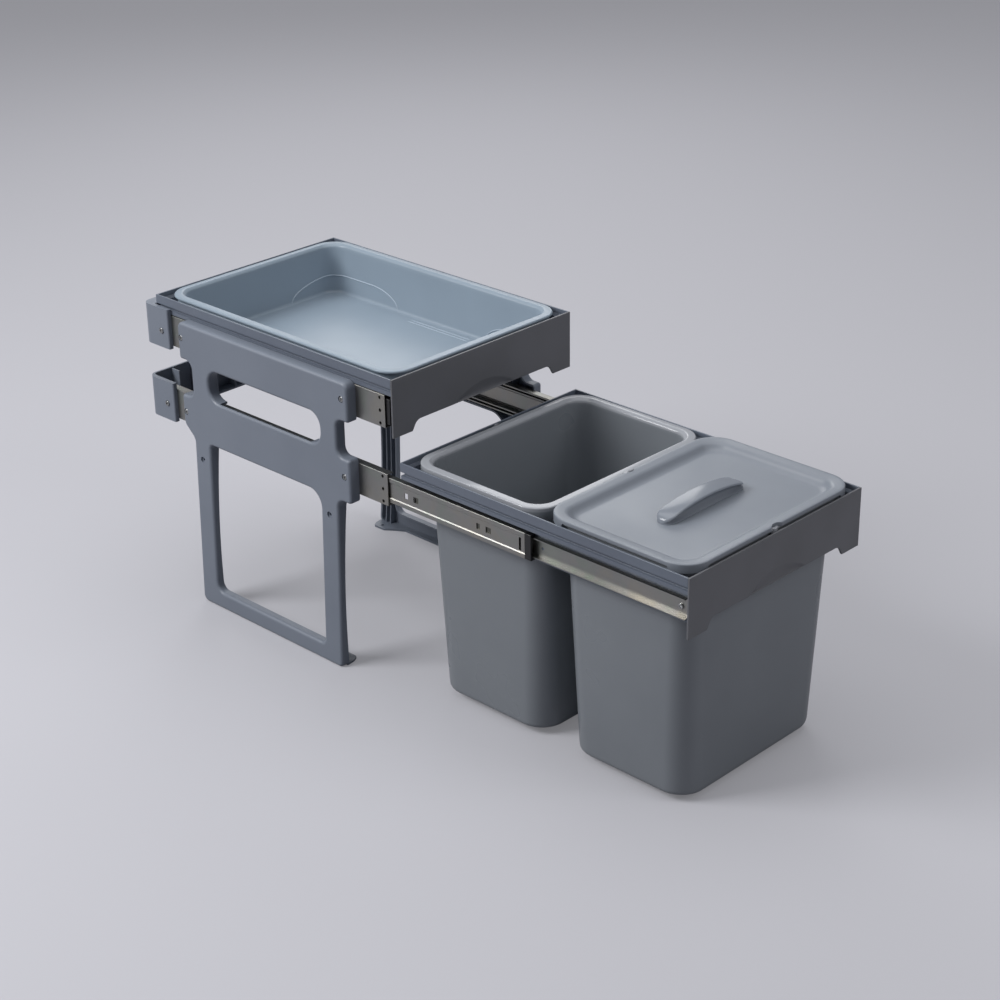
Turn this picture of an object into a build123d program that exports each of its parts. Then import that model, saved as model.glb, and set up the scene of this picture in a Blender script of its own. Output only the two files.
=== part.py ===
from build123d import *
import os

os.makedirs("parts", exist_ok=True)

# Overall sizes: the frame stands in a cabinet 400 wide whose clear width is 364.
# X runs across, Y runs back from the closed upper drawer's face, Z runs up from the cabinet floor.
# At the end everything moves so that the origin is the middle of the four screw holes in the feet.
CABINET_CLEAR_WIDTH = 364.0
SIDE_FRAME_DEPTH = 16.0
SLIDE_LENGTH = 450.0
DRAWER_LENGTH = SLIDE_LENGTH + 23.0
DRAWER_TRAVEL = SLIDE_LENGTH + 33.0
LOWER_TOP = 334.7
RIM_RISE = 3.3
TRAY_DEPTH = 75.5
TRAY_CLEARANCE = 37.0
UPPER_TOP = LOWER_TOP + TRAY_CLEARANCE + TRAY_DEPTH - RIM_RISE
RUNNING_GAP = 0.4
REST_GAP = 0.3
OVERRUN = 2.0
SLIDE_FACE = CABINET_CLEAR_WIDTH / 2 - SIDE_FRAME_DEPTH
DRAWER_HALF = SLIDE_FACE - RUNNING_GAP

# Ball bearing slides of three members, rolled from zinc plated steel
SLIDE_HEIGHT = 45.0
SLIDE_THICKNESS = 12.7
SLIDE_DROP = 46.2
SLIDE_FRONT = 14.0
OUTER_SHEET = 1.0
MIDDLE_SHEET = 1.0
INNER_SHEET = 1.2
CAGE_SHEET = 0.5
SLIDE_PLAY = 0.3
EDGE_SETBACK = 1.5
LIP_HEIGHT = 2.2
BEND_SHARE = 0.8
MIDDLE_LENGTH = SLIDE_LENGTH - 20.0
MIDDLE_SETBACK = 3.0
MIDDLE_RACE = 6.0
MIDDLE_STEP = 1.2
INNER_LEAD = 3.0
SLIDE_CENTRES = {"upper": UPPER_TOP - SLIDE_DROP, "lower": LOWER_TOP - SLIDE_DROP}
SLIDE_REAR = SLIDE_FRONT + SLIDE_LENGTH
OUTER_HALF = SLIDE_HEIGHT / 2

# Balls and the strips that space them
OUTER_BALL = 3.7
INNER_BALL = 2.7
BALL_PLAY = 0.15
BALLS_PER_ROW = 6
BALL_END_MARGIN = 9.0
OUTER_CAGE_GAP = 21.5
INNER_CAGE_GAP = 22.5
OUTER_CAGE_LENGTH = MIDDLE_SETBACK + MIDDLE_LENGTH - DRAWER_TRAVEL / 2 - OUTER_CAGE_GAP
INNER_CAGE_LENGTH = SLIDE_LENGTH - INNER_LEAD - MIDDLE_SETBACK - DRAWER_TRAVEL / 2 - INNER_CAGE_GAP
SLIDE_OVERLAP = (MIDDLE_SETBACK + MIDDLE_LENGTH - DRAWER_TRAVEL / 2) / 2
OUTER_CAGE_FRONT = SLIDE_FRONT + SLIDE_OVERLAP + DRAWER_TRAVEL / 4 - OUTER_CAGE_LENGTH / 2
INNER_OVERLAP = (MIDDLE_SETBACK - INNER_LEAD + SLIDE_LENGTH - 3 * DRAWER_TRAVEL / 2) / 2
INNER_CAGE_FRONT = SLIDE_FRONT + INNER_OVERLAP + 3 * DRAWER_TRAVEL / 4 - INNER_CAGE_LENGTH / 2

# Depths through the slide, inward from the face that is screwed on, and heights from its centre
OUTER_EDGE = SLIDE_THICKNESS - EDGE_SETBACK
OUTER_CAGE_WEB = OUTER_SHEET + SLIDE_PLAY
MIDDLE_WEB = OUTER_CAGE_WEB + CAGE_SHEET + SLIDE_PLAY
MIDDLE_EDGE = OUTER_EDGE - RUNNING_GAP
INNER_CAGE_WEB = MIDDLE_WEB + MIDDLE_STEP + MIDDLE_SHEET + SLIDE_PLAY
INNER_EDGE = INNER_CAGE_WEB + CAGE_SHEET + 2 * SLIDE_PLAY
MIDDLE_HALF = OUTER_HALF - OUTER_SHEET - OUTER_BALL - 2 * BALL_PLAY
INNER_HALF = MIDDLE_HALF - MIDDLE_SHEET - INNER_BALL - 2 * BALL_PLAY
OUTER_BALL_HEIGHT = MIDDLE_HALF + BALL_PLAY + OUTER_BALL / 2
INNER_BALL_HEIGHT = INNER_HALF + BALL_PLAY + INNER_BALL / 2
OUTER_CAGE_EDGE = MIDDLE_EDGE - LIP_HEIGHT
INNER_CAGE_EDGE = MIDDLE_EDGE - MIDDLE_SHEET - RUNNING_GAP
OUTER_BALL_DEPTH = OUTER_CAGE_EDGE - OUTER_BALL / 2 - CAGE_SHEET
INNER_BALL_DEPTH = INNER_CAGE_EDGE - INNER_BALL / 2 - CAGE_SHEET

# Holes, windows and the plastic buffer of the slides
FRONT_HOLE_SETBACK = 9.0
FRONT_HOLE_SPREAD = 17.5
FRONT_HOLE_RADIUS = 2.3
WEB_SLOT_LENGTH = 14.0
WEB_SLOT_HEIGHT = 6.0
WEB_SLOT_SHARES = (0.3, 0.5, 0.7)
WINDOW_STARTS = (58.0, 186.0)
WINDOW_HEIGHT = 8.0
WINDOW_FRONT_LENGTH = 9.0
WINDOW_TAB_LENGTH = 10.0
WINDOW_REAR_LENGTH = 6.0
ARC_SLOT_SETBACK = 7.0
ARC_SLOT_WIDTH = 3.6
ARC_SLOT_HEIGHT = 17.0
BUFFER_LENGTH = 10.0
BUFFER_TONGUE = 8.0
BUFFER_ROUND = 0.8
INNER_HOLE_SETBACK = SLIDE_LENGTH / 2 + 1.0
INNER_HOLE_RADIUS = 2.3

# Pan head screws
SCREW_RADIUS = 2.0
SCREW_HOLE_RADIUS = 2.1
SCREW_HEAD_RADIUS = 4.0
SCREW_HEAD_HEIGHT = 2.0
SCREW_HEAD_ROUND = 1.2
DRIVE_LENGTH = 4.4
DRIVE_WIDTH = 0.9
DRIVE_DEPTH = 1.1
RECESS_RADIUS = 4.6
RAIL_SCREW_SETBACKS = (9.5, SLIDE_LENGTH * 3 / 5, SLIDE_LENGTH - 31.0)
FRAME_SCREW_FRONT = 11.0
FRAME_SCREW_REAR = 6.5
FRAME_SCREW_RISE = 3.8
BAR_SCREW_INSET = 7.0
BAR_SCREW_DROP = 1.2

# Moulded side frames
FRAME_SETBACK = 54.0
BEAM_ABOVE_SLIDE = 27.0
BEAM_BELOW_SLIDE = 27.5
LOWER_BEAM_ABOVE = 29.5
LOWER_BEAM_BELOW = 33.5
NOTCH_DEPTH = 24.0
NOTCH_RADIUS = 12.0
BEAM_CORNER = 6.0
BEAM_TOP_CORNER = 10.0
NOTCH_MOUTH_RADIUS = 4.0
LEG_STEP_FRONT = 26.0
LEG_STEP_REAR = 20.0
LEG_LEAN = 8.0
FOOT_CORNER = 10.0
OGEE_RISE = 18.0
OGEE_RADIUS = 12.0
LEG_WIDTH = 34.0
FOOT_BAR_HEIGHT = 26.0
SLOT_FRONT_INSET = 56.0
SLOT_REAR_INSET = 59.0
SLOT_MARGIN = 5.0
SLOT_TOP_DROP = 2.0
SLOT_RADIUS = 20.0
SLOT_FLOOR_DEPTH = 9.0
WINDOW_RADII = {"rear_top": 7.0, "front_top": 23.0, "rear_foot": 12.0, "front_foot": 8.0}
FRAME_WALL = 3.0
FRAME_EDGE_ROUND = 4.5
FRAME_RIB = 2.0
LEG_RIB_SHARES = (0.36, 0.64)
BEAM_RIB_COUNT = 7
LEG_WAIST = 6.0
FOOT_WAIST = 2.0
WAIST_HEIGHT_SHARE = 0.5
BOSS_RADIUS = 5.0
LEG_HOLE_DROP = 27.0
FOOT_PAD_REACH = 17.0
FOOT_PAD_THICKNESS = 3.0
FOOT_PAD_TIP = 10.5
FOOT_PAD_FLARE = 39.0
FOOT_HOLE_RADIUS = 2.6
FOOT_HOLE_REACH = 9.0

# Moulded crossbars behind the slides
BAR_WALL = 3.0
BAR_ARM = 6.5
BAR_ARM_ROUND = 2.6
BAR_LAP = 22.0
BAR_REAR_GAP = 24.0
BAR_HEIGHT = 58.0
BAR_RISE = 2.7
BAR_FLANGE = 20.0
BAR_CORNER = 13.0
BAR_RIB = 2.0
BAR_RIB_COUNT = 9

# Drawer frames: one moulded section runs round the sides and the rear
RIM_BAND = 12.5
RIM_WALL = 2.2
RIM_ROOT = 5.8
LEDGE_DROP = 17.7
COVE_DEPTH = 3.8
COVE_BEVEL = 0.6
SHELF_GAP = 1.0
SHELF_THICKNESS = SLIDE_DROP - OUTER_HALF - LEDGE_DROP - SHELF_GAP
RAIL_WALL = 2.5
RAIL_HEIGHT = 66.0
RAIL_EDGE_ROUND = 0.6
RAIL_BOSS_RADIUS = 4.5
RAIL_BOSS_LENGTH = 3.5
PANEL_WALL = 3.0
PANEL_END_HEIGHT = 79.6
PANEL_MIDDLE_HEIGHT = 66.0
PANEL_TAB_WIDTH = 38.0
PANEL_ARCH_RADIUS = 13.0
PANEL_ARCH_LEAN = 4.0
PANEL_ROUND = 0.8
PANEL_SHELF_DEPTH = 12.0
GRIP_WIDTH = 108.0
GRIP_HEIGHT = 18.0
GRIP_DEPTH = 2.2

# Bins, tray and lid, all moulded with a turned down rim
RIM_SIDE_GAP = 7.1
RIM_FRONT_GAP = 3.5
RIM_REAR_GAP = 10.0
BIN_GAP = 6.5
RIM_RADIUS = 34.0
RIM_LEDGE = 11.5
BASIN_WALL = 2.2
BASIN_RADIUS = 26.0
RIM_ROUND = 1.6
BIN_HEIGHT = 330.0
BIN_DRAFT = 12.5
BIN_FLOOR_RADIUS = 34.0
BIN_FLOOR_ROUND = 9.0
TRAY_DRAFT = 5.0
TRAY_FLOOR_RADIUS = 24.0
TRAY_FLOOR_ROUND = 7.0
LUG_RADIUS = 6.0
LUG_REACH = 2.4
LUG_HEIGHT = 9.0
LID_WALL = 2.2
LID_TOP_RISE = 4.0
LID_SKIRT = 12.0
LID_SKIRT_SHORT = 5.5
LID_CORNER_RUN = 34.0
LID_BORDER = 19.0
LID_RECESS = 10.0
LID_RECESS_DRAFT = 4.0
LID_RECESS_RADIUS = 22.0
LID_FLOOR_RADIUS = 18.0
LID_ROUND = 1.8
LID_NOTCH_RADIUS = 12.0
LID_NOTCH_DEPTH = 5.0
HANDLE_LENGTH = 150.0
HANDLE_WIDTH = 26.0
HANDLE_CORNER = 11.0
HANDLE_RISE = 18.0
HANDLE_THICKNESS = 2.4
HANDLE_FOOT = 9.0
HANDLE_SCOOP = 7.0


def block(x_limits, y_limits, z_limits):
    """Box between two limits along each axis."""
    pairs = [sorted(limits) for limits in (x_limits, y_limits, z_limits)]
    middle = [(low + high) / 2 for low, high in pairs]
    return Pos(*middle) * Box(*[high - low for low, high in pairs])


def rod(radius, x_limits, y, z):
    """Round bar along X."""
    low, high = sorted(x_limits)
    return Pos((low + high) / 2, y, z) * Rot(0, 90, 0) * Cylinder(radius, high - low)


def post(radius, x, y, z_limits):
    """Round bar along Z."""
    low, high = sorted(z_limits)
    return Pos(x, y, (low + high) / 2) * Cylinder(radius, high - low)


def face_from(corners, plane):
    """Flat face on a plane from corners given as (across, up, corner radius)."""
    points = [(across, up) for across, up, radius in corners]
    radii = [radius for across, up, radius in corners]
    with BuildSketch(plane) as sketch:
        with BuildLine():
            FilletPolyline(*points, radius=radii, close=True)
        make_face()
    return sketch.sketch


def prism_x(corners, x_limits):
    """Outline in Y and Z, drawn out along X."""
    low, high = sorted(x_limits)
    return extrude(face_from(corners, Plane.YZ.offset(low)), high - low)


def prism_y(corners, y_limits):
    """Outline in X and Z, drawn out along Y."""
    low, high = sorted(y_limits)
    plane = Plane(origin=(0, high, 0), x_dir=(1, 0, 0), z_dir=(0, -1, 0))
    return extrude(face_from(corners, plane), high - low)


def prism_z(corners, z_limits):
    """Outline in X and Y, drawn out along Z."""
    low, high = sorted(z_limits)
    return extrude(face_from(corners, Plane.XY.offset(low)), high - low)


def rounded_plate(half_x, half_y, radius, centre_y, z_limits):
    """Slab with rounded corners, centred across the frame."""
    low, high = sorted(z_limits)
    slab = Pos(0, centre_y, low) * RectangleRounded(2 * half_x, 2 * half_y, radius)
    return extrude(slab, high - low)


def drafted_block(floor, mouth, centre_y):
    """Tapered block between two rounded rectangles, each (half x, half y, radius, z)."""
    sections = []
    for half_x, half_y, radius, z in (floor, mouth):
        outline = RectangleRounded(2 * half_x, 2 * half_y, radius)
        sections.append(Pos(0, centre_y, z) * outline)
    return loft(sections, ruled=True)


def add_both(nodes, name, shape):
    """Store a right hand piece and its mirror image at the left."""
    nodes["right_" + name] = shape
    nodes["left_" + name] = mirror(shape, about=Plane.YZ)


def pair(shape):
    """Right hand solids with their mirror images, as one group."""
    return Compound(children=list(shape.solids()) + list(mirror(shape, about=Plane.YZ).solids()))


def screw(seat, y, z, length):
    """Cross recess pan head screw along X whose head rests on the face at seat."""
    top = seat + SCREW_HEAD_HEIGHT
    head = rod(SCREW_HEAD_RADIUS, (seat, top), y, z)
    head = fillet(head.edges().sort_by(Axis.X)[-1], SCREW_HEAD_ROUND)
    shank = rod(SCREW_RADIUS, (seat - length, seat), y, z)
    tool = (top - DRIVE_DEPTH, top + OVERRUN)
    reach = DRIVE_LENGTH / 2
    half = DRIVE_WIDTH / 2
    across = block(tool, (y - reach, y + reach), (z - half, z + half))
    upright = block(tool, (y - half, y + half), (z - reach, z + reach))
    return head + shank - across - upright


def channel(web, edge, half_height, sheet, lip, y_limits):
    """Rolled channel along Y whose web and edge lie at depths inward from the slide face."""
    step = sheet if edge > web else -sheet
    bend = sheet * BEND_SHARE
    upper = [(web, half_height, bend), (edge, half_height, bend if lip else 0)]
    if lip:
        upper.append((edge, half_height - lip, 0))
        upper.append((edge - step, half_height - lip, 0))
        upper.append((edge - step, half_height - sheet, 0))
    else:
        upper.append((edge, half_height - sheet, 0))
    upper.append((web + step, half_height - sheet, 0))
    lower = [(depth, -height, radius) for depth, height, radius in reversed(upper)]
    corners = [(SLIDE_FACE - depth, height, radius) for depth, height, radius in upper + lower]
    return prism_y(corners, y_limits)


def ball_places(front, length):
    """Y places of one row of balls in a cage."""
    pitch = (length - 2 * BALL_END_MARGIN) / (BALLS_PER_ROW - 1)
    return [front + BALL_END_MARGIN + index * pitch for index in range(BALLS_PER_ROW)]


def ball_cage(web, edge, row, front, length):
    """Pressed strip with two rows of loose balls; row gives their depth, height and size."""
    ball_depth, ball_height, ball_size = row
    half_height = ball_height + CAGE_SHEET / 2
    strip = channel(web, edge, half_height, CAGE_SHEET, 0, (front, front + length))
    x = SLIDE_FACE - ball_depth
    balls = []
    for y in ball_places(front, length):
        strip -= post(ball_size / 2 + BALL_PLAY, x, y, (-ball_height - OVERRUN, ball_height + OVERRUN))
        for z in (-ball_height, ball_height):
            balls.append(Pos(x, y, z) * Sphere(ball_size / 2))
    return Compound(children=list(strip.solids()) + [ball.solid() for ball in balls])


def outer_member():
    """Fixed member: the wide channel that is screwed to the side frame and crossbar."""
    web_cut = (SLIDE_FACE - OUTER_SHEET - OVERRUN, SLIDE_FACE + OVERRUN)
    member = channel(0, OUTER_EDGE, OUTER_HALF, OUTER_SHEET, LIP_HEIGHT, (SLIDE_FRONT, SLIDE_REAR))
    for z in (-FRONT_HOLE_SPREAD, 0, FRONT_HOLE_SPREAD):
        member -= rod(FRONT_HOLE_RADIUS, web_cut, SLIDE_FRONT + FRONT_HOLE_SETBACK, z)
    for y in frame_screw_places():
        member -= rod(SCREW_HOLE_RADIUS, web_cut, y, FRAME_SCREW_RISE)
    member -= rod(SCREW_HOLE_RADIUS, web_cut, SLIDE_REAR - BAR_SCREW_INSET, -BAR_SCREW_DROP)
    for share in WEB_SLOT_SHARES:
        start = SLIDE_FRONT + share * SLIDE_LENGTH
        heights = (-WEB_SLOT_HEIGHT / 2, WEB_SLOT_HEIGHT / 2)
        member -= block(web_cut, (start, start + WEB_SLOT_LENGTH), heights)
    return member


def middle_member():
    """Travelling member between the two rows of balls."""
    front = SLIDE_FRONT + MIDDLE_SETBACK
    limits = (front, front + MIDDLE_LENGTH)
    inner_web = MIDDLE_WEB + MIDDLE_STEP
    web_cut = (SLIDE_FACE - inner_web - MIDDLE_SHEET - CAGE_SHEET, SLIDE_FACE - MIDDLE_WEB + CAGE_SHEET)
    step_foot = MIDDLE_HALF - MIDDLE_RACE
    member = channel(MIDDLE_WEB, MIDDLE_EDGE, MIDDLE_HALF, MIDDLE_SHEET, LIP_HEIGHT, limits)
    outside = SLIDE_FACE - MIDDLE_WEB + CAGE_SHEET
    recess = [
        (outside, step_foot, 0),
        (SLIDE_FACE - MIDDLE_WEB, step_foot, 0),
        (SLIDE_FACE - inner_web, step_foot - MIDDLE_STEP, 0),
    ]
    backing = [
        (SLIDE_FACE - MIDDLE_WEB - MIDDLE_SHEET / 2, step_foot + MIDDLE_SHEET, 0),
        (SLIDE_FACE - MIDDLE_WEB - MIDDLE_SHEET, step_foot + MIDDLE_SHEET, 0),
        (SLIDE_FACE - inner_web - MIDDLE_SHEET, step_foot - MIDDLE_STEP, 0),
    ]
    member += prism_y(backing + [(x, -z, radius) for x, z, radius in reversed(backing)], limits)
    member -= prism_y(recess + [(x, -z, radius) for x, z, radius in reversed(recess)], limits)
    heights = (-WINDOW_HEIGHT / 2, WINDOW_HEIGHT / 2)
    for start in WINDOW_STARTS:
        window_front = front + start
        window_rear = window_front + WINDOW_FRONT_LENGTH + WINDOW_TAB_LENGTH
        member -= block(web_cut, (window_front, window_front + WINDOW_FRONT_LENGTH), heights)
        member -= block(web_cut, (window_rear, window_rear + WINDOW_REAR_LENGTH), heights)
    slot_front = front + ARC_SLOT_SETBACK
    slot_heights = (-ARC_SLOT_HEIGHT / 2, ARC_SLOT_HEIGHT / 2)
    member -= block(web_cut, (slot_front, slot_front + ARC_SLOT_WIDTH), slot_heights)
    return member


def middle_buffer():
    """Plastic buffer plugged into the front end of the middle member."""
    front = SLIDE_FRONT + MIDDLE_SETBACK
    bore_half = INNER_HALF + RUNNING_GAP
    bore_depth = INNER_EDGE - RUNNING_GAP
    upper = [
        (MIDDLE_WEB, MIDDLE_HALF, BUFFER_ROUND),
        (MIDDLE_EDGE, MIDDLE_HALF, BUFFER_ROUND),
        (MIDDLE_EDGE, bore_half, 0),
        (bore_depth, bore_half, 0),
    ]
    lower = [(depth, -height, radius) for depth, height, radius in reversed(upper)]
    corners = [(SLIDE_FACE - depth, height, radius) for depth, height, radius in upper + lower]
    buffer = prism_y(corners, (front - BUFFER_LENGTH, front))
    inset = MIDDLE_SHEET + BALL_PLAY
    tongue_depths = (SLIDE_FACE - MIDDLE_EDGE + inset, SLIDE_FACE - MIDDLE_WEB - inset)
    for side in (-1, 1):
        heights = (side * bore_half, side * (MIDDLE_HALF - inset))
        buffer += block(tongue_depths, (front - OVERRUN, front + BUFFER_TONGUE), heights)
    return buffer


def inner_member():
    """Drawer member: the narrow channel that is screwed to the drawer rail."""
    front = SLIDE_FRONT - INNER_LEAD
    limits = (front, front + SLIDE_LENGTH)
    member = channel(SLIDE_THICKNESS, INNER_EDGE, INNER_HALF, INNER_SHEET, 0, limits)
    web_face = SLIDE_FACE - SLIDE_THICKNESS
    web_cut = (web_face - OVERRUN, web_face + INNER_SHEET + OVERRUN)
    for setback in RAIL_SCREW_SETBACKS:
        member -= rod(SCREW_HOLE_RADIUS, web_cut, front + setback, 0)
    member -= rod(INNER_HOLE_RADIUS, web_cut, front + INNER_HOLE_SETBACK, 0)
    return member


def frame_screw_places():
    """Y places of the two screws that hold a slide to its side frame."""
    front = SLIDE_FRONT + FRAME_SETBACK + FRAME_SCREW_FRONT
    rear = SLIDE_REAR - FRAME_SETBACK - FRAME_SCREW_REAR
    return front, rear


def leg_centres(z):
    """Y places of the middles of the front and rear legs at a height; they lean to the rear at the foot."""
    beam_foot = SLIDE_CENTRES["lower"] - LOWER_BEAM_BELOW
    lean = LEG_LEAN * (1 - z / beam_foot)
    front = SLIDE_FRONT + FRAME_SETBACK + LEG_STEP_FRONT + LEG_WIDTH / 2
    rear = SLIDE_REAR - FRAME_SETBACK - LEG_STEP_REAR - LEG_WIDTH / 2
    return front + lean, rear + lean


def frame_outline(plane):
    """Side view of a side frame with its hand slot and the opening between its legs."""
    front = SLIDE_FRONT + FRAME_SETBACK
    rear = SLIDE_REAR - FRAME_SETBACK
    top = SLIDE_CENTRES["upper"] + BEAM_ABOVE_SLIDE
    notch_top = SLIDE_CENTRES["upper"] - BEAM_BELOW_SLIDE
    notch_foot = SLIDE_CENTRES["lower"] + LOWER_BEAM_ABOVE
    beam_foot = SLIDE_CENTRES["lower"] - LOWER_BEAM_BELOW
    half_leg = LEG_WIDTH / 2
    top_front, top_rear = leg_centres(beam_foot)
    foot_front, foot_rear = leg_centres(0)
    bar_front, bar_rear = leg_centres(FOOT_BAR_HEIGHT)
    outline = [
        (front, top, BEAM_TOP_CORNER),
        (rear, top, BEAM_TOP_CORNER),
        (rear, notch_top, NOTCH_MOUTH_RADIUS),
        (rear - NOTCH_DEPTH, notch_top, NOTCH_RADIUS),
        (rear - NOTCH_DEPTH, notch_foot, NOTCH_RADIUS),
        (rear, notch_foot, NOTCH_MOUTH_RADIUS),
        (rear, beam_foot + OGEE_RISE, OGEE_RADIUS),
        (top_rear + half_leg, beam_foot, OGEE_RADIUS),
        (foot_rear + half_leg, 0, FOOT_CORNER),
        (foot_front - half_leg, 0, BEAM_CORNER),
        (top_front - half_leg, beam_foot, NOTCH_RADIUS),
        (front, beam_foot, BEAM_CORNER),
        (front, notch_foot, NOTCH_MOUTH_RADIUS),
        (front + NOTCH_DEPTH, notch_foot, NOTCH_RADIUS),
        (front + NOTCH_DEPTH, notch_top, NOTCH_RADIUS),
        (front, notch_top, NOTCH_MOUTH_RADIUS),
    ]
    slot_front = front + SLOT_FRONT_INSET
    slot_rear = rear - SLOT_REAR_INSET
    slot_limits = (notch_foot + SLOT_MARGIN, notch_top - SLOT_TOP_DROP)
    radius = min(SLOT_RADIUS, (slot_limits[1] - slot_limits[0]) / 2 - RUNNING_GAP)
    slot = [(y, z, radius) for y in (slot_front, slot_rear) for z in slot_limits]
    slot[2], slot[3] = slot[3], slot[2]
    window = [
        (top_front + half_leg, beam_foot, WINDOW_RADII["front_top"]),
        (top_rear - half_leg, beam_foot, WINDOW_RADII["rear_top"]),
        (bar_rear - half_leg, FOOT_BAR_HEIGHT, WINDOW_RADII["rear_foot"]),
        (bar_front + half_leg, FOOT_BAR_HEIGHT, WINDOW_RADII["front_foot"]),
    ]
    return face_from(outline, plane) - face_from(slot, plane) - face_from(window, plane)


def frame_ribs():
    """Stiffening ribs of a side frame: two down each leg and several across the beams."""
    x_limits = (SLIDE_FACE, SLIDE_FACE + SIDE_FRAME_DEPTH - FRAME_WALL)
    front = SLIDE_FRONT + FRAME_SETBACK
    rear = SLIDE_REAR - FRAME_SETBACK
    top = SLIDE_CENTRES["upper"] + BEAM_ABOVE_SLIDE
    beam_foot = SLIDE_CENTRES["lower"] - LOWER_BEAM_BELOW
    ribs = []
    for foot, head in zip(leg_centres(0), leg_centres(beam_foot)):
        for share in LEG_RIB_SHARES:
            aside = (share - 1 / 2) * LEG_WIDTH
            corners = [
                (foot + aside + FRAME_RIB / 2, 0, 0),
                (head + aside + FRAME_RIB / 2, beam_foot, 0),
                (head + aside - FRAME_RIB / 2, beam_foot, 0),
                (foot + aside - FRAME_RIB / 2, 0, 0),
            ]
            ribs.append(prism_x(corners, x_limits))
    pitch = (rear - front) / (BEAM_RIB_COUNT + 1)
    for index in range(BEAM_RIB_COUNT):
        y = front + (index + 1) * pitch
        ribs.append(block(x_limits, (y - FRAME_RIB / 2, y + FRAME_RIB / 2), (beam_foot, top)))
    return Compound(children=ribs)


def leg_waist_cut():
    """Space inside the legs, which are thinner at mid height than at the beams."""
    beam_foot = SLIDE_CENTRES["lower"] - LOWER_BEAM_BELOW
    plane = Plane(origin=(0, SLIDE_REAR, 0), x_dir=(1, 0, 0), z_dir=(0, -1, 0))
    with BuildSketch(plane) as sketch:
        with BuildLine():
            top = (SLIDE_FACE, beam_foot - FRAME_WALL)
            waist = (SLIDE_FACE + LEG_WAIST, beam_foot * WAIST_HEIGHT_SHARE)
            foot = (SLIDE_FACE + FOOT_WAIST, 0)
            ThreePointArc(top, waist, foot)
            Polyline(foot, (SLIDE_FACE + FOOT_WAIST, -OVERRUN), (SLIDE_FACE - OVERRUN, -OVERRUN))
            Polyline((SLIDE_FACE - OVERRUN, -OVERRUN), (SLIDE_FACE - OVERRUN, top[1]), top)
        make_face()
    return extrude(sketch.sketch, SLIDE_LENGTH)


def slot_floor_cut():
    """Space below the hand slot, which has no floor: it opens into the hollow beam."""
    floor = SLIDE_CENTRES["lower"] + LOWER_BEAM_ABOVE + SLOT_MARGIN
    y_limits = (
        SLIDE_FRONT + FRAME_SETBACK + SLOT_FRONT_INSET + SLOT_RADIUS,
        SLIDE_REAR - FRAME_SETBACK - SLOT_REAR_INSET - SLOT_RADIUS,
    )
    x_limits = (SLIDE_FACE - OVERRUN, SLIDE_FACE + SIDE_FRAME_DEPTH - FRAME_WALL)
    return block(x_limits, y_limits, (floor - SLOT_FLOOR_DEPTH, floor + RUNNING_GAP))


def foot_pad(centre, outward):
    """Flat foot that flares from the foot bar towards the middle; outward is the end away from the other."""
    inner = SLIDE_FACE - FOOT_PAD_REACH
    bar = SLIDE_FACE + FOOT_WAIST + FRAME_WALL
    flare_reach = SLIDE_FACE - FOOT_PAD_REACH / 3
    edge = centre + outward * LEG_WIDTH / 2
    corners = [
        (bar, edge, 0),
        (SLIDE_FACE - FOOT_PAD_REACH / 2, edge - outward * FOOT_WAIST, BEAM_CORNER),
        (inner, centre + outward * FOOT_PAD_TIP, NOTCH_MOUTH_RADIUS),
        (inner, centre - outward * FOOT_PAD_TIP, NOTCH_MOUTH_RADIUS),
        (flare_reach, centre - outward * FOOT_PAD_FLARE * 2 / 3, NOTCH_MOUTH_RADIUS),
        (SLIDE_FACE + FOOT_WAIST, centre - outward * FOOT_PAD_FLARE, 0),
        (bar, centre - outward * FOOT_PAD_FLARE, 0),
    ]
    pad = prism_z(corners, (0, FOOT_PAD_THICKNESS))
    hole_limits = (-OVERRUN, FOOT_PAD_THICKNESS + OVERRUN)
    return pad - post(FOOT_HOLE_RADIUS, SLIDE_FACE - FOOT_HOLE_REACH, centre, hole_limits)


def side_frame():
    """Hollow moulded side frame at the right, open towards the slides."""
    outer_face = SLIDE_FACE + SIDE_FRAME_DEPTH
    floor = outer_face - FRAME_WALL
    outline = frame_outline(Plane.YZ.offset(SLIDE_FACE))
    frame = extrude(outline, SIDE_FRAME_DEPTH)
    frame = fillet(frame.faces().sort_by(Axis.X)[-1].edges(), FRAME_EDGE_ROUND)
    pocket = extrude(offset(outline, amount=-FRAME_WALL), SIDE_FRAME_DEPTH - FRAME_WALL)
    frame -= pocket
    for rib in frame_ribs().solids():
        frame += rib & pocket
    heights = [centre + FRAME_SCREW_RISE for centre in SLIDE_CENTRES.values()]
    holes = [(y, z) for y in frame_screw_places() for z in heights]
    leg_hole_height = SLIDE_CENTRES["lower"] - LOWER_BEAM_BELOW - LEG_HOLE_DROP
    leg_holes = [(y, leg_hole_height) for y in leg_centres(leg_hole_height)]
    for y, z in holes + leg_holes:
        frame += rod(BOSS_RADIUS, (SLIDE_FACE, floor), y, z)
    frame -= leg_waist_cut()
    frame -= slot_floor_cut()
    for y, z in holes + leg_holes:
        frame -= rod(SCREW_HOLE_RADIUS, (SLIDE_FACE - OVERRUN, outer_face), y, z)
        frame -= rod(RECESS_RADIUS, (outer_face - SCREW_HEAD_HEIGHT - REST_GAP, outer_face + OVERRUN), y, z)
    front_leg, rear_leg = leg_centres(0)
    return frame + foot_pad(front_leg, -1) + foot_pad(rear_leg, 1)


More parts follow.
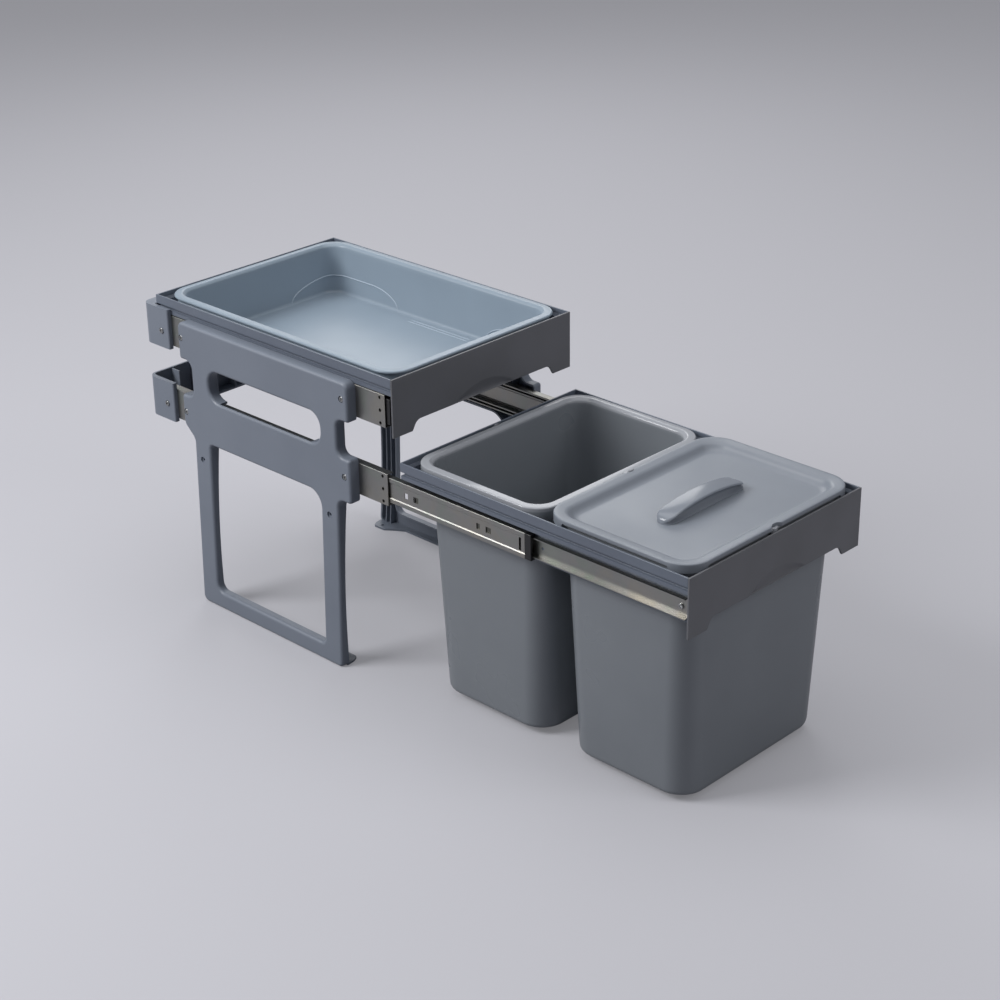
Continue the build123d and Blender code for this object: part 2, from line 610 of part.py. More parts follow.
def crossbar(centre, flange_on_top):
    """Moulded bar that joins the rear ends of two slides; its arms lap outside them."""
    outer = SLIDE_FACE + BAR_ARM
    arm_front = SLIDE_REAR - BAR_LAP
    wall_face = DRAWER_LENGTH + BAR_REAR_GAP
    low = centre + BAR_RISE - BAR_HEIGHT / 2
    high = low + BAR_HEIGHT
    corners = [
        (outer, arm_front, BAR_ARM_ROUND),
        (outer, wall_face, BAR_CORNER),
        (-outer, wall_face, BAR_CORNER),
        (-outer, arm_front, BAR_ARM_ROUND),
        (-SLIDE_FACE, arm_front, 0),
        (-SLIDE_FACE, wall_face - BAR_WALL, BAR_CORNER - BAR_ARM),
        (SLIDE_FACE, wall_face - BAR_WALL, BAR_CORNER - BAR_ARM),
        (SLIDE_FACE, arm_front, 0),
    ]
    bar = prism_z(corners, (low, high))
    flange_depth = (wall_face - BAR_FLANGE, wall_face - BAR_WALL / 2)
    reach = SLIDE_FACE + BAR_WALL / 2
    plate_centre = wall_face - BAR_WALL / 2 - BAR_FLANGE
    inner_corner = rounded_plate(reach, BAR_FLANGE, BAR_CORNER - BAR_ARM, plate_centre, (low, high))
    levels = [(low, low + BAR_WALL)]
    if flange_on_top:
        levels.append((high - BAR_WALL, high))
    for level in levels:
        bar += block((-reach, reach), flange_depth, level) & inner_corner
    pitch = 2 * SLIDE_FACE / (BAR_RIB_COUNT + 1)
    rib_heights = (low + BAR_WALL / 2, high - BAR_WALL / 2)
    for index in range(BAR_RIB_COUNT):
        x = -SLIDE_FACE + (index + 1) * pitch
        bar += block((x - BAR_RIB / 2, x + BAR_RIB / 2), flange_depth, rib_heights)
    y = SLIDE_REAR - BAR_SCREW_INSET
    z = centre - BAR_SCREW_DROP
    for side in (-1, 1):
        bar -= rod(SCREW_HOLE_RADIUS, (side * (SLIDE_FACE - OVERRUN), side * (outer + OVERRUN)), y, z)
    return bar


def rail_section(outer):
    """Corners of the drawer frame's section; outer turns a distance inward into a coordinate."""
    wall_face = DRAWER_HALF - SLIDE_FACE + SLIDE_THICKNESS
    wall_back = wall_face + RAIL_WALL
    return [
        (outer(0), 0, RAIL_EDGE_ROUND),
        (outer(0), -RIM_BAND, RAIL_EDGE_ROUND),
        (outer(COVE_DEPTH), -RIM_BAND - COVE_BEVEL, RAIL_EDGE_ROUND),
        (outer(COVE_DEPTH), -LEDGE_DROP + COVE_BEVEL, RAIL_EDGE_ROUND),
        (outer(RAIL_EDGE_ROUND), -LEDGE_DROP, 0),
        (outer(RAIL_EDGE_ROUND), -LEDGE_DROP - SHELF_THICKNESS, 0),
        (outer(wall_face), -LEDGE_DROP - SHELF_THICKNESS, RAIL_EDGE_ROUND),
        (outer(wall_face), -RAIL_HEIGHT, RAIL_EDGE_ROUND),
        (outer(wall_back), -RAIL_HEIGHT, RAIL_EDGE_ROUND),
        (outer(wall_back), -LEDGE_DROP, 0),
        (outer(RIM_ROOT), -LEDGE_DROP, RAIL_EDGE_ROUND),
        (outer(RIM_ROOT), -RIM_BAND + RIM_WALL, 0),
        (outer(RIM_WALL), -RIM_BAND + RIM_ROOT, 0),
        (outer(RIM_WALL), 0, RAIL_EDGE_ROUND),
    ]


def rear_corner_wedge():
    """Triangular space behind the 45 degree mitre at the right rear corner."""
    far = DRAWER_LENGTH + OVERRUN
    reach = DRAWER_HALF + OVERRUN
    inner = SLIDE_FACE - SLIDE_THICKNESS - RAIL_WALL - OVERRUN
    corners = [(reach, far, 0), (inner, DRAWER_LENGTH - DRAWER_HALF + inner, 0), (inner, far, 0)]
    return prism_z(corners, (-RAIL_HEIGHT - OVERRUN, OVERRUN))


def side_rail():
    """Side rail of a drawer frame with its top at Z zero, mitred at the rear."""
    corners = rail_section(lambda depth: DRAWER_HALF - depth)
    rail = prism_y(corners, (PANEL_WALL, DRAWER_LENGTH)) - rear_corner_wedge()
    wall_face = SLIDE_FACE - SLIDE_THICKNESS
    for setback in RAIL_SCREW_SETBACKS:
        y = SLIDE_FRONT - INNER_LEAD + setback
        back = wall_face - RAIL_WALL
        boss_end = back - RAIL_BOSS_LENGTH
        rail += rod(RAIL_BOSS_RADIUS, (boss_end, back + RAIL_WALL / 2), y, -SLIDE_DROP)
        rail -= rod(SCREW_HOLE_RADIUS, (boss_end - OVERRUN, wall_face + OVERRUN), y, -SLIDE_DROP)
    return rail


def rear_rail():
    """Rear rail of a drawer frame, mitred at both ends."""
    corners = rail_section(lambda depth: DRAWER_LENGTH - depth)
    rail = prism_x(corners, (-DRAWER_HALF, DRAWER_HALF))
    far = DRAWER_LENGTH - DRAWER_HALF
    reach = DRAWER_HALF + OVERRUN
    corners = [(0, far, 0), (reach, far + reach, 0), (-reach, far + reach, 0)]
    return rail & prism_z(corners, (-RAIL_HEIGHT - OVERRUN, OVERRUN))


def panel_half_outline():
    """Right half of the front panel's outline from the bottom centre to the top centre."""
    tab = DRAWER_HALF - PANEL_TAB_WIDTH
    return [
        (tab - PANEL_ARCH_LEAN, -PANEL_MIDDLE_HEIGHT, PANEL_ARCH_RADIUS),
        (tab + PANEL_ARCH_LEAN, -PANEL_END_HEIGHT, PANEL_ROUND),
        (DRAWER_HALF, -PANEL_END_HEIGHT, PANEL_ROUND),
        (DRAWER_HALF, 0, PANEL_ROUND),
    ]


def front_panel():
    """Front panel of a drawer frame with its face at Y zero and its top at Z zero."""
    half = panel_half_outline()
    corners = half + [(-x, z, radius) for x, z, radius in reversed(half)]
    panel = prism_y(corners, (0, PANEL_WALL))
    shelf_half = SLIDE_FACE - SLIDE_THICKNESS - RAIL_WALL
    shelf_heights = (-LEDGE_DROP - SHELF_THICKNESS, -LEDGE_DROP)
    panel += block((-shelf_half, shelf_half), (PANEL_WALL / 2, PANEL_WALL + PANEL_SHELF_DEPTH), shelf_heights)
    arc_radius = (GRIP_WIDTH ** 2 / 4 + GRIP_HEIGHT ** 2) / (2 * GRIP_HEIGHT)
    arc_centre = -PANEL_MIDDLE_HEIGHT + GRIP_HEIGHT - arc_radius
    lift = (arc_radius ** 2 - (arc_radius - GRIP_HEIGHT) ** 2 - GRIP_DEPTH ** 2) / (2 * GRIP_DEPTH)
    ball_radius = (lift ** 2 + arc_radius ** 2) ** 0.5
    return panel - Pos(0, -lift, arc_centre) * Sphere(ball_radius)


def basin(centre_y, half_y, depth, draft, floor_radius, floor_round, top):
    """Open container with drafted walls and a turned down rim."""
    rim_x = DRAWER_HALF - RIM_SIDE_GAP
    mouth = (rim_x - RIM_LEDGE, half_y - RIM_LEDGE, BASIN_RADIUS, top)
    foot = (mouth[0] - draft, mouth[1] - draft / 2, floor_radius, top - depth)
    body = drafted_block(foot, mouth, centre_y)
    body = fillet(body.edges().group_by(Axis.Z)[0], floor_round)
    inner_mouth = (mouth[0] - BASIN_WALL, mouth[1] - BASIN_WALL, BASIN_RADIUS - BASIN_WALL, top)
    inner_foot = (foot[0] - BASIN_WALL, foot[1] - BASIN_WALL, floor_radius - BASIN_WALL, foot[3] + BASIN_WALL)
    hollow = drafted_block(inner_foot, inner_mouth, centre_y)
    hollow = fillet(hollow.edges().group_by(Axis.Z)[0], floor_round - BASIN_WALL)
    rim_foot = top - RIM_RISE - LEDGE_DROP + REST_GAP
    rim = rounded_plate(rim_x, half_y, RIM_RADIUS, centre_y, (rim_foot, top))
    rim = fillet(rim.edges().group_by(Axis.Z)[-1], RIM_ROUND)
    under_limits = (rim_foot, top - BASIN_WALL)
    under = rounded_plate(
        rim_x - BASIN_WALL, half_y - BASIN_WALL, RIM_RADIUS - BASIN_WALL, centre_y, under_limits
    )
    return rim - under + body - hollow


def bin_places():
    """Half length and Y centres of the front and rear bins in the closed drawer."""
    front = PANEL_WALL + RIM_FRONT_GAP
    rear = DRAWER_LENGTH - RIM_REAR_GAP
    half = (rear - front - BIN_GAP) / 4
    return half, front + half, rear - half


def waste_bin(centre_y):
    """Waste bin with a lug at the middle of its front and rear rims."""
    half_y = bin_places()[0]
    top = LOWER_TOP + RIM_RISE
    shape = basin(centre_y, half_y, BIN_HEIGHT, BIN_DRAFT, BIN_FLOOR_RADIUS, BIN_FLOOR_ROUND, top)
    for side in (-1, 1):
        edge = centre_y + side * half_y
        lug_centre = edge - side * (LUG_RADIUS - LUG_REACH)
        lug = post(LUG_RADIUS, 0, lug_centre, (top - LUG_HEIGHT, top - RIM_ROUND))
        keep_limits = (edge - side * BASIN_WALL / 2, edge + side * LUG_REACH)
        shape += lug & block((-LUG_RADIUS, LUG_RADIUS), keep_limits, (0, top))
    return shape


def tray():
    """Shallow tray that fills the upper drawer."""
    front = PANEL_WALL + RIM_FRONT_GAP
    rear = DRAWER_LENGTH - RIM_REAR_GAP
    top = UPPER_TOP + RIM_RISE
    half_y = (rear - front) / 2
    centre_y = front + half_y
    return basin(centre_y, half_y, TRAY_DEPTH, TRAY_DRAFT, TRAY_FLOOR_RADIUS, TRAY_FLOOR_ROUND, top)


def arch(half_length, rise, y_limits, floor):
    """Solid under an arc that stands on the lid's sunk floor."""
    low, high = sorted(y_limits)
    with BuildSketch(Plane(origin=(0, high, floor), x_dir=(1, 0, 0), z_dir=(0, -1, 0))) as side:
        with BuildLine():
            ThreePointArc((-half_length, 0), (0, rise), (half_length, 0))
            Line((half_length, 0), (-half_length, 0))
        make_face()
    return extrude(side.sketch, high - low)


def lid_handle(centre_y, floor):
    """Arched handle across the lid's recess, scooped at both sides for the fingers."""
    half = HANDLE_LENGTH / 2
    edges = (centre_y - HANDLE_WIDTH / 2, centre_y + HANDLE_WIDTH / 2)
    handle = arch(half, HANDLE_RISE, edges, floor)
    for edge, side in zip(edges, (1, -1)):
        scoop = (edge - side * OVERRUN, edge + side * HANDLE_SCOOP)
        handle -= arch(half - HANDLE_FOOT, HANDLE_RISE - HANDLE_THICKNESS, scoop, floor)
    limits = (floor, floor + HANDLE_RISE)
    return handle & rounded_plate(half, HANDLE_WIDTH / 2, HANDLE_CORNER, centre_y, limits)


def lid(centre_y):
    """Lid with a raised border, a sunk middle and a bridge handle."""
    half_y = bin_places()[0] + REST_GAP + LID_WALL
    half_x = DRAWER_HALF - RIM_SIDE_GAP + REST_GAP + LID_WALL
    radius = RIM_RADIUS + REST_GAP + LID_WALL
    under = LOWER_TOP + RIM_RISE + REST_GAP
    top = under + LID_TOP_RISE
    skirt_foot = top - LID_SKIRT
    shell = rounded_plate(half_x, half_y, radius, centre_y, (skirt_foot, top))
    shell = fillet(shell.edges().group_by(Axis.Z)[-1], LID_ROUND)
    hollow_limits = (skirt_foot, top - LID_WALL)
    shell -= rounded_plate(
        half_x - LID_WALL, half_y - LID_WALL, radius - LID_WALL, centre_y, hollow_limits
    )
    mouth = (half_x - LID_BORDER, half_y - LID_BORDER, LID_RECESS_RADIUS, top)
    floor = (mouth[0] - LID_RECESS_DRAFT, mouth[1] - LID_RECESS_DRAFT, LID_FLOOR_RADIUS, top - LID_RECESS)
    pan_mouth = (mouth[0] + LID_WALL, mouth[1] + LID_WALL, mouth[2] + LID_WALL, top)
    pan_floor = (floor[0] + LID_WALL, floor[1] + LID_WALL, floor[2] + LID_WALL, floor[3] - LID_WALL)
    shell = shell + drafted_block(pan_floor, pan_mouth, centre_y) - drafted_block(floor, mouth, centre_y)
    short_cut = (skirt_foot - OVERRUN, top - LID_SKIRT_SHORT)
    run_x = half_x - LID_CORNER_RUN
    run_y = half_y - LID_CORNER_RUN
    span_x = (half_x + OVERRUN) * 2
    span_y = (half_y + OVERRUN) * 2
    inside_x = half_x - LID_WALL - REST_GAP / 2
    inside_y = half_y - LID_WALL - REST_GAP / 2
    for side in (-1, 1):
        shell -= block((side * inside_x, side * span_x / 2), (centre_y - run_y, centre_y + run_y), short_cut)
        ends = (centre_y + side * inside_y, centre_y + side * span_y / 2)
        shell -= block((-run_x, run_x), ends, short_cut)
        notch_y = centre_y + side * (half_y + LID_NOTCH_RADIUS - LID_NOTCH_DEPTH)
        shell -= post(LID_NOTCH_RADIUS, 0, notch_y, (top - LID_WALL - OVERRUN, top + OVERRUN))
    return shell + lid_handle(centre_y, top - LID_RECESS)


def fixing_screws():
    """Screws through the side frames into the slides."""
    seat = SLIDE_FACE + SIDE_FRAME_DEPTH - SCREW_HEAD_HEIGHT - REST_GAP
    length = seat - SLIDE_FACE + OUTER_SHEET
    screws = []
    for y in frame_screw_places():
        for centre in SLIDE_CENTRES.values():
            screws.append(screw(seat, y, centre + FRAME_SCREW_RISE, length))
    return pair(Compound(children=screws))


def crossbar_screws():
    """Screws through the crossbars' arms into the slides."""
    seat = SLIDE_FACE + BAR_ARM
    y = SLIDE_REAR - BAR_SCREW_INSET
    length = BAR_ARM + 2 * OUTER_SHEET
    places = [centre - BAR_SCREW_DROP for centre in SLIDE_CENTRES.values()]
    return pair(Compound(children=[screw(seat, y, z, length) for z in places]))


def rail_screws():
    """Screws through the inner members into a drawer's rails, at slide height zero."""
    seat = SLIDE_FACE - SLIDE_THICKNESS + INNER_SHEET
    length = INNER_SHEET + RAIL_WALL + RAIL_BOSS_LENGTH
    places = [SLIDE_FRONT - INNER_LEAD + setback for setback in RAIL_SCREW_SETBACKS]
    return pair(Compound(children=[screw(seat, y, 0, length) for y in places]))


def build_nodes():
    """All pieces by name, with the upper drawer closed and the lower drawer fully out."""
    nodes = {}
    add_both(nodes, "side_frame", side_frame())
    nodes["upper_rear_crossbar"] = crossbar(SLIDE_CENTRES["upper"], True)
    nodes["lower_rear_crossbar"] = crossbar(SLIDE_CENTRES["lower"], False)
    nodes["slide_fixing_screws"] = fixing_screws()
    nodes["crossbar_screws"] = crossbar_screws()
    outer_balls = (OUTER_BALL_DEPTH, OUTER_BALL_HEIGHT, OUTER_BALL)
    inner_balls = (INNER_BALL_DEPTH, INNER_BALL_HEIGHT, INNER_BALL)
    outer_cage = ball_cage(
        OUTER_CAGE_WEB, OUTER_CAGE_EDGE, outer_balls, OUTER_CAGE_FRONT, OUTER_CAGE_LENGTH
    )
    inner_cage = ball_cage(
        INNER_CAGE_WEB, INNER_CAGE_EDGE, inner_balls, INNER_CAGE_FRONT, INNER_CAGE_LENGTH
    )
    travelling = {
        "outer_slide_member": (outer_member(), 0),
        "outer_ball_cage": (outer_cage, 1 / 4),
        "middle_slide_member": (middle_member(), 1 / 2),
        "middle_slide_buffer": (middle_buffer(), 1 / 2),
        "inner_ball_cage": (inner_cage, 3 / 4),
        "inner_slide_member": (inner_member(), 1),
    }
    drawers = {"upper": (UPPER_TOP, 0), "lower": (LOWER_TOP, DRAWER_TRAVEL)}
    for level, (top, travel) in drawers.items():
        for name, (shape, ratio) in travelling.items():
            placed = Pos(0, -travel * ratio, SLIDE_CENTRES[level]) * shape
            nodes[f"{level}_right_{name}"] = placed
            nodes[f"{level}_left_{name}"] = mirror(placed, about=Plane.YZ)
        place = Pos(0, -travel, top)
        rail = place * side_rail()
        nodes[f"{level}_right_rail"] = rail
        nodes[f"{level}_left_rail"] = mirror(rail, about=Plane.YZ)
        nodes[f"{level}_rear_rail"] = place * rear_rail()
        nodes[f"{level}_front_panel"] = place * front_panel()
        nodes[f"{level}_rail_screws"] = Pos(0, -travel, SLIDE_CENTRES[level]) * rail_screws()
    half, front_centre, rear_centre = bin_places()
    nodes["tray"] = tray()
    nodes["front_bin"] = waste_bin(front_centre - DRAWER_TRAVEL)
    nodes["rear_bin"] = waste_bin(rear_centre - DRAWER_TRAVEL)
    nodes["lid"] = lid(front_centre - DRAWER_TRAVEL)
    return nodes


to_origin = Pos(0, -sum(leg_centres(0)) / 2, 0)
for node_name, node_shape in build_nodes().items():
    export_step(to_origin * node_shape, f"parts/{node_name}.step")
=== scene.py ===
import logging
import math
from dataclasses import dataclass, field

import bmesh
import bpy
import numpy as np
from mathutils import Matrix, Vector


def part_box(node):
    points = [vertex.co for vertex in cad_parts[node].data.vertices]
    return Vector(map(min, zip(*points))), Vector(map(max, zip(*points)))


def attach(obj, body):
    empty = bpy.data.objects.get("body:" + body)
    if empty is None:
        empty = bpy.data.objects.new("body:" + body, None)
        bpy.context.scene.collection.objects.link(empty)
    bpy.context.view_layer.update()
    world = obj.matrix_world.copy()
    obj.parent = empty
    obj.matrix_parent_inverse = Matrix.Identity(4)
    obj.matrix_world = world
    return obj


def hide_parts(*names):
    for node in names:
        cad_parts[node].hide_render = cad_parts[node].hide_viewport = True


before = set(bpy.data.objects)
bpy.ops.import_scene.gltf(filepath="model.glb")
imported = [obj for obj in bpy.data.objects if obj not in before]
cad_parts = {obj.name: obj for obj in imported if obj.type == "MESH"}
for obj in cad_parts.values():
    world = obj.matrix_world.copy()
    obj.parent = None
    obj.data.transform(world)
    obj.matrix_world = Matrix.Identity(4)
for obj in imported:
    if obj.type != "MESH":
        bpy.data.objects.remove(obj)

LOG = logging.getLogger("pull_out_bins")
MM = 0.001
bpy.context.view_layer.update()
Colour = tuple[float, float, float, float]
Place = tuple[float, float, float]
Pair = tuple[float, float]
Run = tuple[float, float, int]
QUARTER = math.pi / 2

# The frame's origin lies this far behind the closed drawer's face, at the middle of its feet.
FEET_MIDDLE = 250.0 * MM
# Where straight runs of an outline are divided, as shares of the run.
EVEN_SHARES = np.linspace(0, 1, 7)[1:-1]
FINE_SHARES = np.linspace(0, 1, 41)[1:-1]
# Points nearer to each other than this are one point, and no soft box has a sharper corner.
WELD = 0.01 * MM
# Smallest height of a step or of what is divided by.
LEAST = 0.1 * MM
# A bead thins out over this share of its length, down to this share of its squared thickness.
BEAD_END = 0.04
BEAD_TIP = 0.02

# Noise between these values takes a surface from its colour to its tint.
CLOUD_STOPS = (0.35, 0.65)
# Over the same noise the roughness drifts by this share to both sides of its mean.
DRIFT_STOPS = (0.3, 0.7)
ROUGHNESS_DRIFT = 0.12
BUMP_STRENGTH = 0.35
# Roughness of a polished rim as a share of the moulded surface's.
RIM_POLISH = 0.42
# Interference colours of a zinc film by noise, the size of their patches and their share.
FILM_STOPS = ((0.36, "949086"), (0.5, "8E8D8B"), (0.62, "889086"))
FILM_MM = 38.0
FILM_SHARE = 0.5

# The finish of a CAD node, by the first of these words that its name holds.
NODE_FINISHES = {
    "slide_member": "slide_steel",
    "cage": "cage_steel",
    "screws": "screw_steel",
    "buffer": "buffer_plastic",
    "panel": "panel_plastic",
    "rail": "drawer_plastic",
    "side_frame": "frame_plastic",
    "crossbar": "frame_plastic",
    "lid": "lid_plastic",
    "bin": "bin_plastic",
    "tray": "tray_plastic",
}


def srgb(hex_code: str) -> Colour:
    """Turn an sRGB hex colour into linear values.

    Args:
        hex_code: six hex digits, red first.

    Returns:
        Linear red, green and blue with an alpha of one.
    """
    channels = [int(hex_code[i:i + 2], 16) / 255 for i in (0, 2, 4)]
    linear = [c / 12.92 if c <= 0.04045 else ((c + 0.055) / 1.055) ** 2.4 for c in channels]
    return (*linear, 1.0)


@dataclass(frozen=True)
class Finish:
    """One real material and the way it was made, as numbers for a shader."""

    name: str
    colour: str
    tint: str
    roughness: float
    metallic: float = 0.0
    ior: float = 1.5
    # Whether its zinc plating shows interference colours.
    iridescent: bool = False
    grain_mm: float = 0.9
    relief_mm: float = 0.02
    cloud_mm: float = 120.0
    along: Place = (1.0, 1.0, 1.0)
    # Height from which the tool is polished and the colour turns paler, a painted highlight, and
    # that paler colour; none for an even surface.
    polished_and_painted_highlight_above: float | None = None
    rim_painted_highlight: str = "FFFFFF"


def wire(node: bpy.types.Node, inputs: dict[str | int, object]) -> None:
    """Give a shader node its constant inputs and links.

    Args:
        node: the node to wire.
        inputs: socket name or number to a value or to another node's output.
    """
    for name, value in inputs.items():
        if isinstance(value, bpy.types.NodeSocket):
            node.id_data.links.new(value, node.inputs[name])
        else:
            node.inputs[name].default_value = value


def add_node(tree: bpy.types.NodeTree, kind: str, inputs: dict[str | int, object] | None = None,
             stops: tuple[tuple[float, str], ...] = (), **settings: object) -> bpy.types.Node:
    """Add a wired shader node with its settings.

    Args:
        tree: the material's node tree.
        kind: the node's type name after ShaderNode.
        inputs: as in wire.
        stops: for a colour ramp the place and hex colour of each stop, lowest first.
        settings: attributes of the node itself.

    Returns:
        The new node.
    """
    node = tree.nodes.new(f"ShaderNode{kind}")
    for name, value in settings.items():
        setattr(node, name, value)
    wire(node, inputs or {})
    for number, (place, shade) in enumerate(stops):
        elements = node.color_ramp.elements
        element = elements[number] if number < len(elements) else elements.new(place)
        element.position, element.color = place, srgb(shade)
    return node


def make_material(finish: Finish) -> bpy.types.Material:
    """Build the node material of one finish.

    Every pattern reads Object coordinates, so a noise scale is one over its size in metres.

    Args:
        finish: what the surface is made of and how.

    Returns:
        The new material.
    """
    material = bpy.data.materials.new(finish.name)
    material.use_nodes = True
    tree = material.node_tree
    shader = tree.nodes["Principled BSDF"]
    place = add_node(tree, "TexCoord").outputs["Object"]
    clouds = add_node(tree, "TexNoise", {
        "Vector": place, "Scale": 1 / (finish.cloud_mm * MM), "Detail": 3.0}).outputs["Fac"]
    base = add_node(tree, "ValToRGB", {0: clouds},
                    tuple(zip(CLOUD_STOPS, (finish.colour, finish.tint)))).outputs["Color"]
    if finish.iridescent:
        # Faint yellow and green patches between the grey rolling lines.
        film = add_node(tree, "TexNoise", {
            "Vector": place, "Scale": 1 / (FILM_MM * MM), "Detail": 2.0,
            "Distortion": 0.6}).outputs["Fac"]
        shade = add_node(tree, "ValToRGB", {0: film}, FILM_STOPS).outputs["Color"]
        base = add_node(tree, "Mix", {0: FILM_SHARE, 6: base, 7: shade},
                        data_type="RGBA").outputs[2]
    roughness = add_node(tree, "MapRange", {
        "Value": clouds, "From Min": DRIFT_STOPS[0], "From Max": DRIFT_STOPS[1],
        "To Min": finish.roughness * (1 - ROUGHNESS_DRIFT),
        "To Max": finish.roughness * (1 + ROUGHNESS_DRIFT)}).outputs[0]
    if finish.polished_and_painted_highlight_above is not None:
        # Rims are moulded in a polished part of the tool, so they are glossier; their colour is
        # also mixed to a paler one, a painted highlight of the lamps.
        height = add_node(tree, "SeparateXYZ", {0: place}).outputs["Z"]
        share = add_node(tree, "MapRange", {
            "Value": height, "From Min": finish.polished_and_painted_highlight_above - MM,
            "From Max": finish.polished_and_painted_highlight_above}).outputs[0]
        gloss = add_node(tree, "MapRange", {"Value": share, "To Min": 1.0, "To Max": RIM_POLISH})
        roughness = add_node(tree, "Math", {0: roughness, 1: gloss.outputs[0]},
                             operation="MULTIPLY").outputs[0]
        # Painted highlight: above that height the colour is mixed to the paler one.
        base = add_node(tree, "Mix", {0: share, 6: base, 7: srgb(finish.rim_painted_highlight)},
                        data_type="RGBA").outputs[2]
    wire(shader, {"Base Color": base, "Roughness": roughness, "Metallic": finish.metallic,
                  "IOR": finish.ior})
    if finish.relief_mm:
        stretched = add_node(tree, "Mapping", {"Vector": place, "Scale": finish.along}).outputs[0]
        grain = add_node(tree, "TexNoise", {
            "Vector": stretched, "Scale": 1 / (finish.grain_mm * MM), "Detail": 2.0}).outputs["Fac"]
        bump = add_node(tree, "Bump", {
            "Height": grain, "Strength": BUMP_STRENGTH, "Distance": finish.relief_mm * MM})
        wire(shader, {"Normal": bump.outputs["Normal"]})
    return material


@dataclass
class Palette:
    """Every finish of the object, each made into a material once."""

    # Polypropylene moulded in a spark eroded tool: even blue grey with a soft sheen.
    frame_plastic: Finish = Finish("blue_grey_moulded_polypropylene", "7A818D", "767D89", 0.42)
    # The drawer frames are ABS, a shade deeper than the side frames.
    drawer_plastic: Finish = Finish(
        "slate_blue_moulded_abs", "69717E", "646B78", 0.34, grain_mm=0.7)
    # Front panels read neutral grey with a fine matt texture.
    panel_plastic: Finish = Finish("grey_textured_abs", "6C6D72", "66676B", 0.42, grain_mm=0.8)
    # Bins are satin polypropylene, glossier at the rims where the tool is polished; the rims'
    # paler colour is a painted highlight.
    bin_plastic: Finish = Finish(
        "grey_satin_polypropylene", "83888E", "7E8389", 0.3, cloud_mm=160.0,
        polished_and_painted_highlight_above=0.3322, rim_painted_highlight="A0A3A9")
    # The lid is the bins' plastic with a finer texture.
    lid_plastic: Finish = Finish(
        "pale_grey_gloss_polypropylene", "838992", "7F858E", 0.36, relief_mm=0.012)
    # The handle is the lid's plastic, highly polished where it is held.
    handle_plastic: Finish = Finish(
        "pale_grey_polished_polypropylene", "838992", "7F858E", 0.17, relief_mm=0.0)
    # The tray is bluer and paler than the bins.
    tray_plastic: Finish = Finish(
        "light_blue_grey_polypropylene", "8E9CA9", "8A98A5", 0.34, relief_mm=0.012)
    # Relief lines are cut into the polished tool, so they are glossier; their colour a shade paler
    # than the wall is a painted highlight.
    relief_plastic: Finish = Finish(
        "relief_polypropylene_painted_highlight", "ADBAC6", "A8B5C1", 0.22, relief_mm=0.0)
    # Cold rolled steel with bright zinc plating: the rolling lines run along the slide.
    slide_steel: Finish = Finish(
        "zinc_plated_rolled_steel", "A5A39F", "9D9D9B", 0.4, metallic=1.0, iridescent=True,
        grain_mm=0.5, relief_mm=0.01, along=(1.0, 0.04, 1.0))
    # Ball cages are dark with grease.
    cage_steel: Finish = Finish(
        "greased_spring_steel", "6E6E68", "5E5E58", 0.35, metallic=1.0, relief_mm=0.0)
    # Screw heads are brighter than the slides.
    screw_steel: Finish = Finish(
        "zinc_plated_screw_steel", "A9AAAA", "989998", 0.3, metallic=1.0, relief_mm=0.0)
    # Acetal buffers are black and a little waxy.
    buffer_plastic: Finish = Finish("black_acetal", "121213", "18181A", 0.32, relief_mm=0.0)
    made: dict[str, bpy.types.Material] = field(default_factory=dict)

    def get(self, name: str) -> bpy.types.Material:
        """Give the material of a finish, which is made the first time.

        Args:
            name: the field that holds the finish.

        Returns:
            Its material.
        """
        if name not in self.made:
            self.made[name] = make_material(getattr(self, name))
        return self.made[name]


def ring_faces(rings: int, around: int) -> np.ndarray:
    """Quads between neighbouring closed rings of points.

    Point number = ring * points round it + place in the ring, and the last place joins the first.

    Args:
        rings: how many rings there are.
        around: how many points each has.

    Returns:
        Rows of four point numbers.
    """
    along, turn = np.meshgrid(np.arange(rings - 1), np.arange(around), indexing="ij")
    after = (turn + 1) % around
    first, second = along * around, (along + 1) * around
    quads = np.stack([first + turn, first + after, second + after, second + turn], axis=-1)
    return quads.reshape(-1, 4)


def ring_piece(name: str, grids: list[np.ndarray], material: bpy.types.Material, body: str,
               sharp_deg: float = 40.0) -> bpy.types.Object:
    """Make one piece of surfaces that each run through closed rings of points.

    Points that lie on each other are joined, open ends filled and the faces turned outwards.

    Args:
        name: the piece's name.
        grids: for each surface its rings by points by three coordinates in metres.
        material: what the piece is made of.
        body: the body that it moves with.
        sharp_deg: the angle from which an edge between faces is shaded sharp.

    Returns:
        The new piece.
    """
    sizes = [grid.shape[0] * grid.shape[1] for grid in grids]
    starts = np.r_[0, np.cumsum(sizes)[:-1]]
    points = np.concatenate([grid.reshape(-1, 3) for grid in grids])
    faces = np.concatenate([
        ring_faces(*grid.shape[:2]) + start for grid, start in zip(grids, starts)])
    mesh = bpy.data.meshes.new(name)
    mesh.from_pydata(points.tolist(), [], faces.tolist())
    work = bmesh.new()
    work.from_mesh(mesh)
    bmesh.ops.remove_doubles(work, verts=work.verts, dist=WELD)
    bmesh.ops.holes_fill(work, edges=[edge for edge in work.edges if edge.is_boundary])
    bmesh.ops.recalc_face_normals(work, faces=work.faces)
    work.to_mesh(mesh)
    work.free()
    mesh.polygons.foreach_set("use_smooth", np.ones(len(mesh.polygons), bool))
    mesh.set_sharp_from_angle(angle=math.radians(sharp_deg))
    mesh.update()
    piece = bpy.data.objects.new(name, mesh)
    bpy.context.scene.collection.objects.link(piece)
    piece.data.materials.append(material)
    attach(piece, body)
    return piece


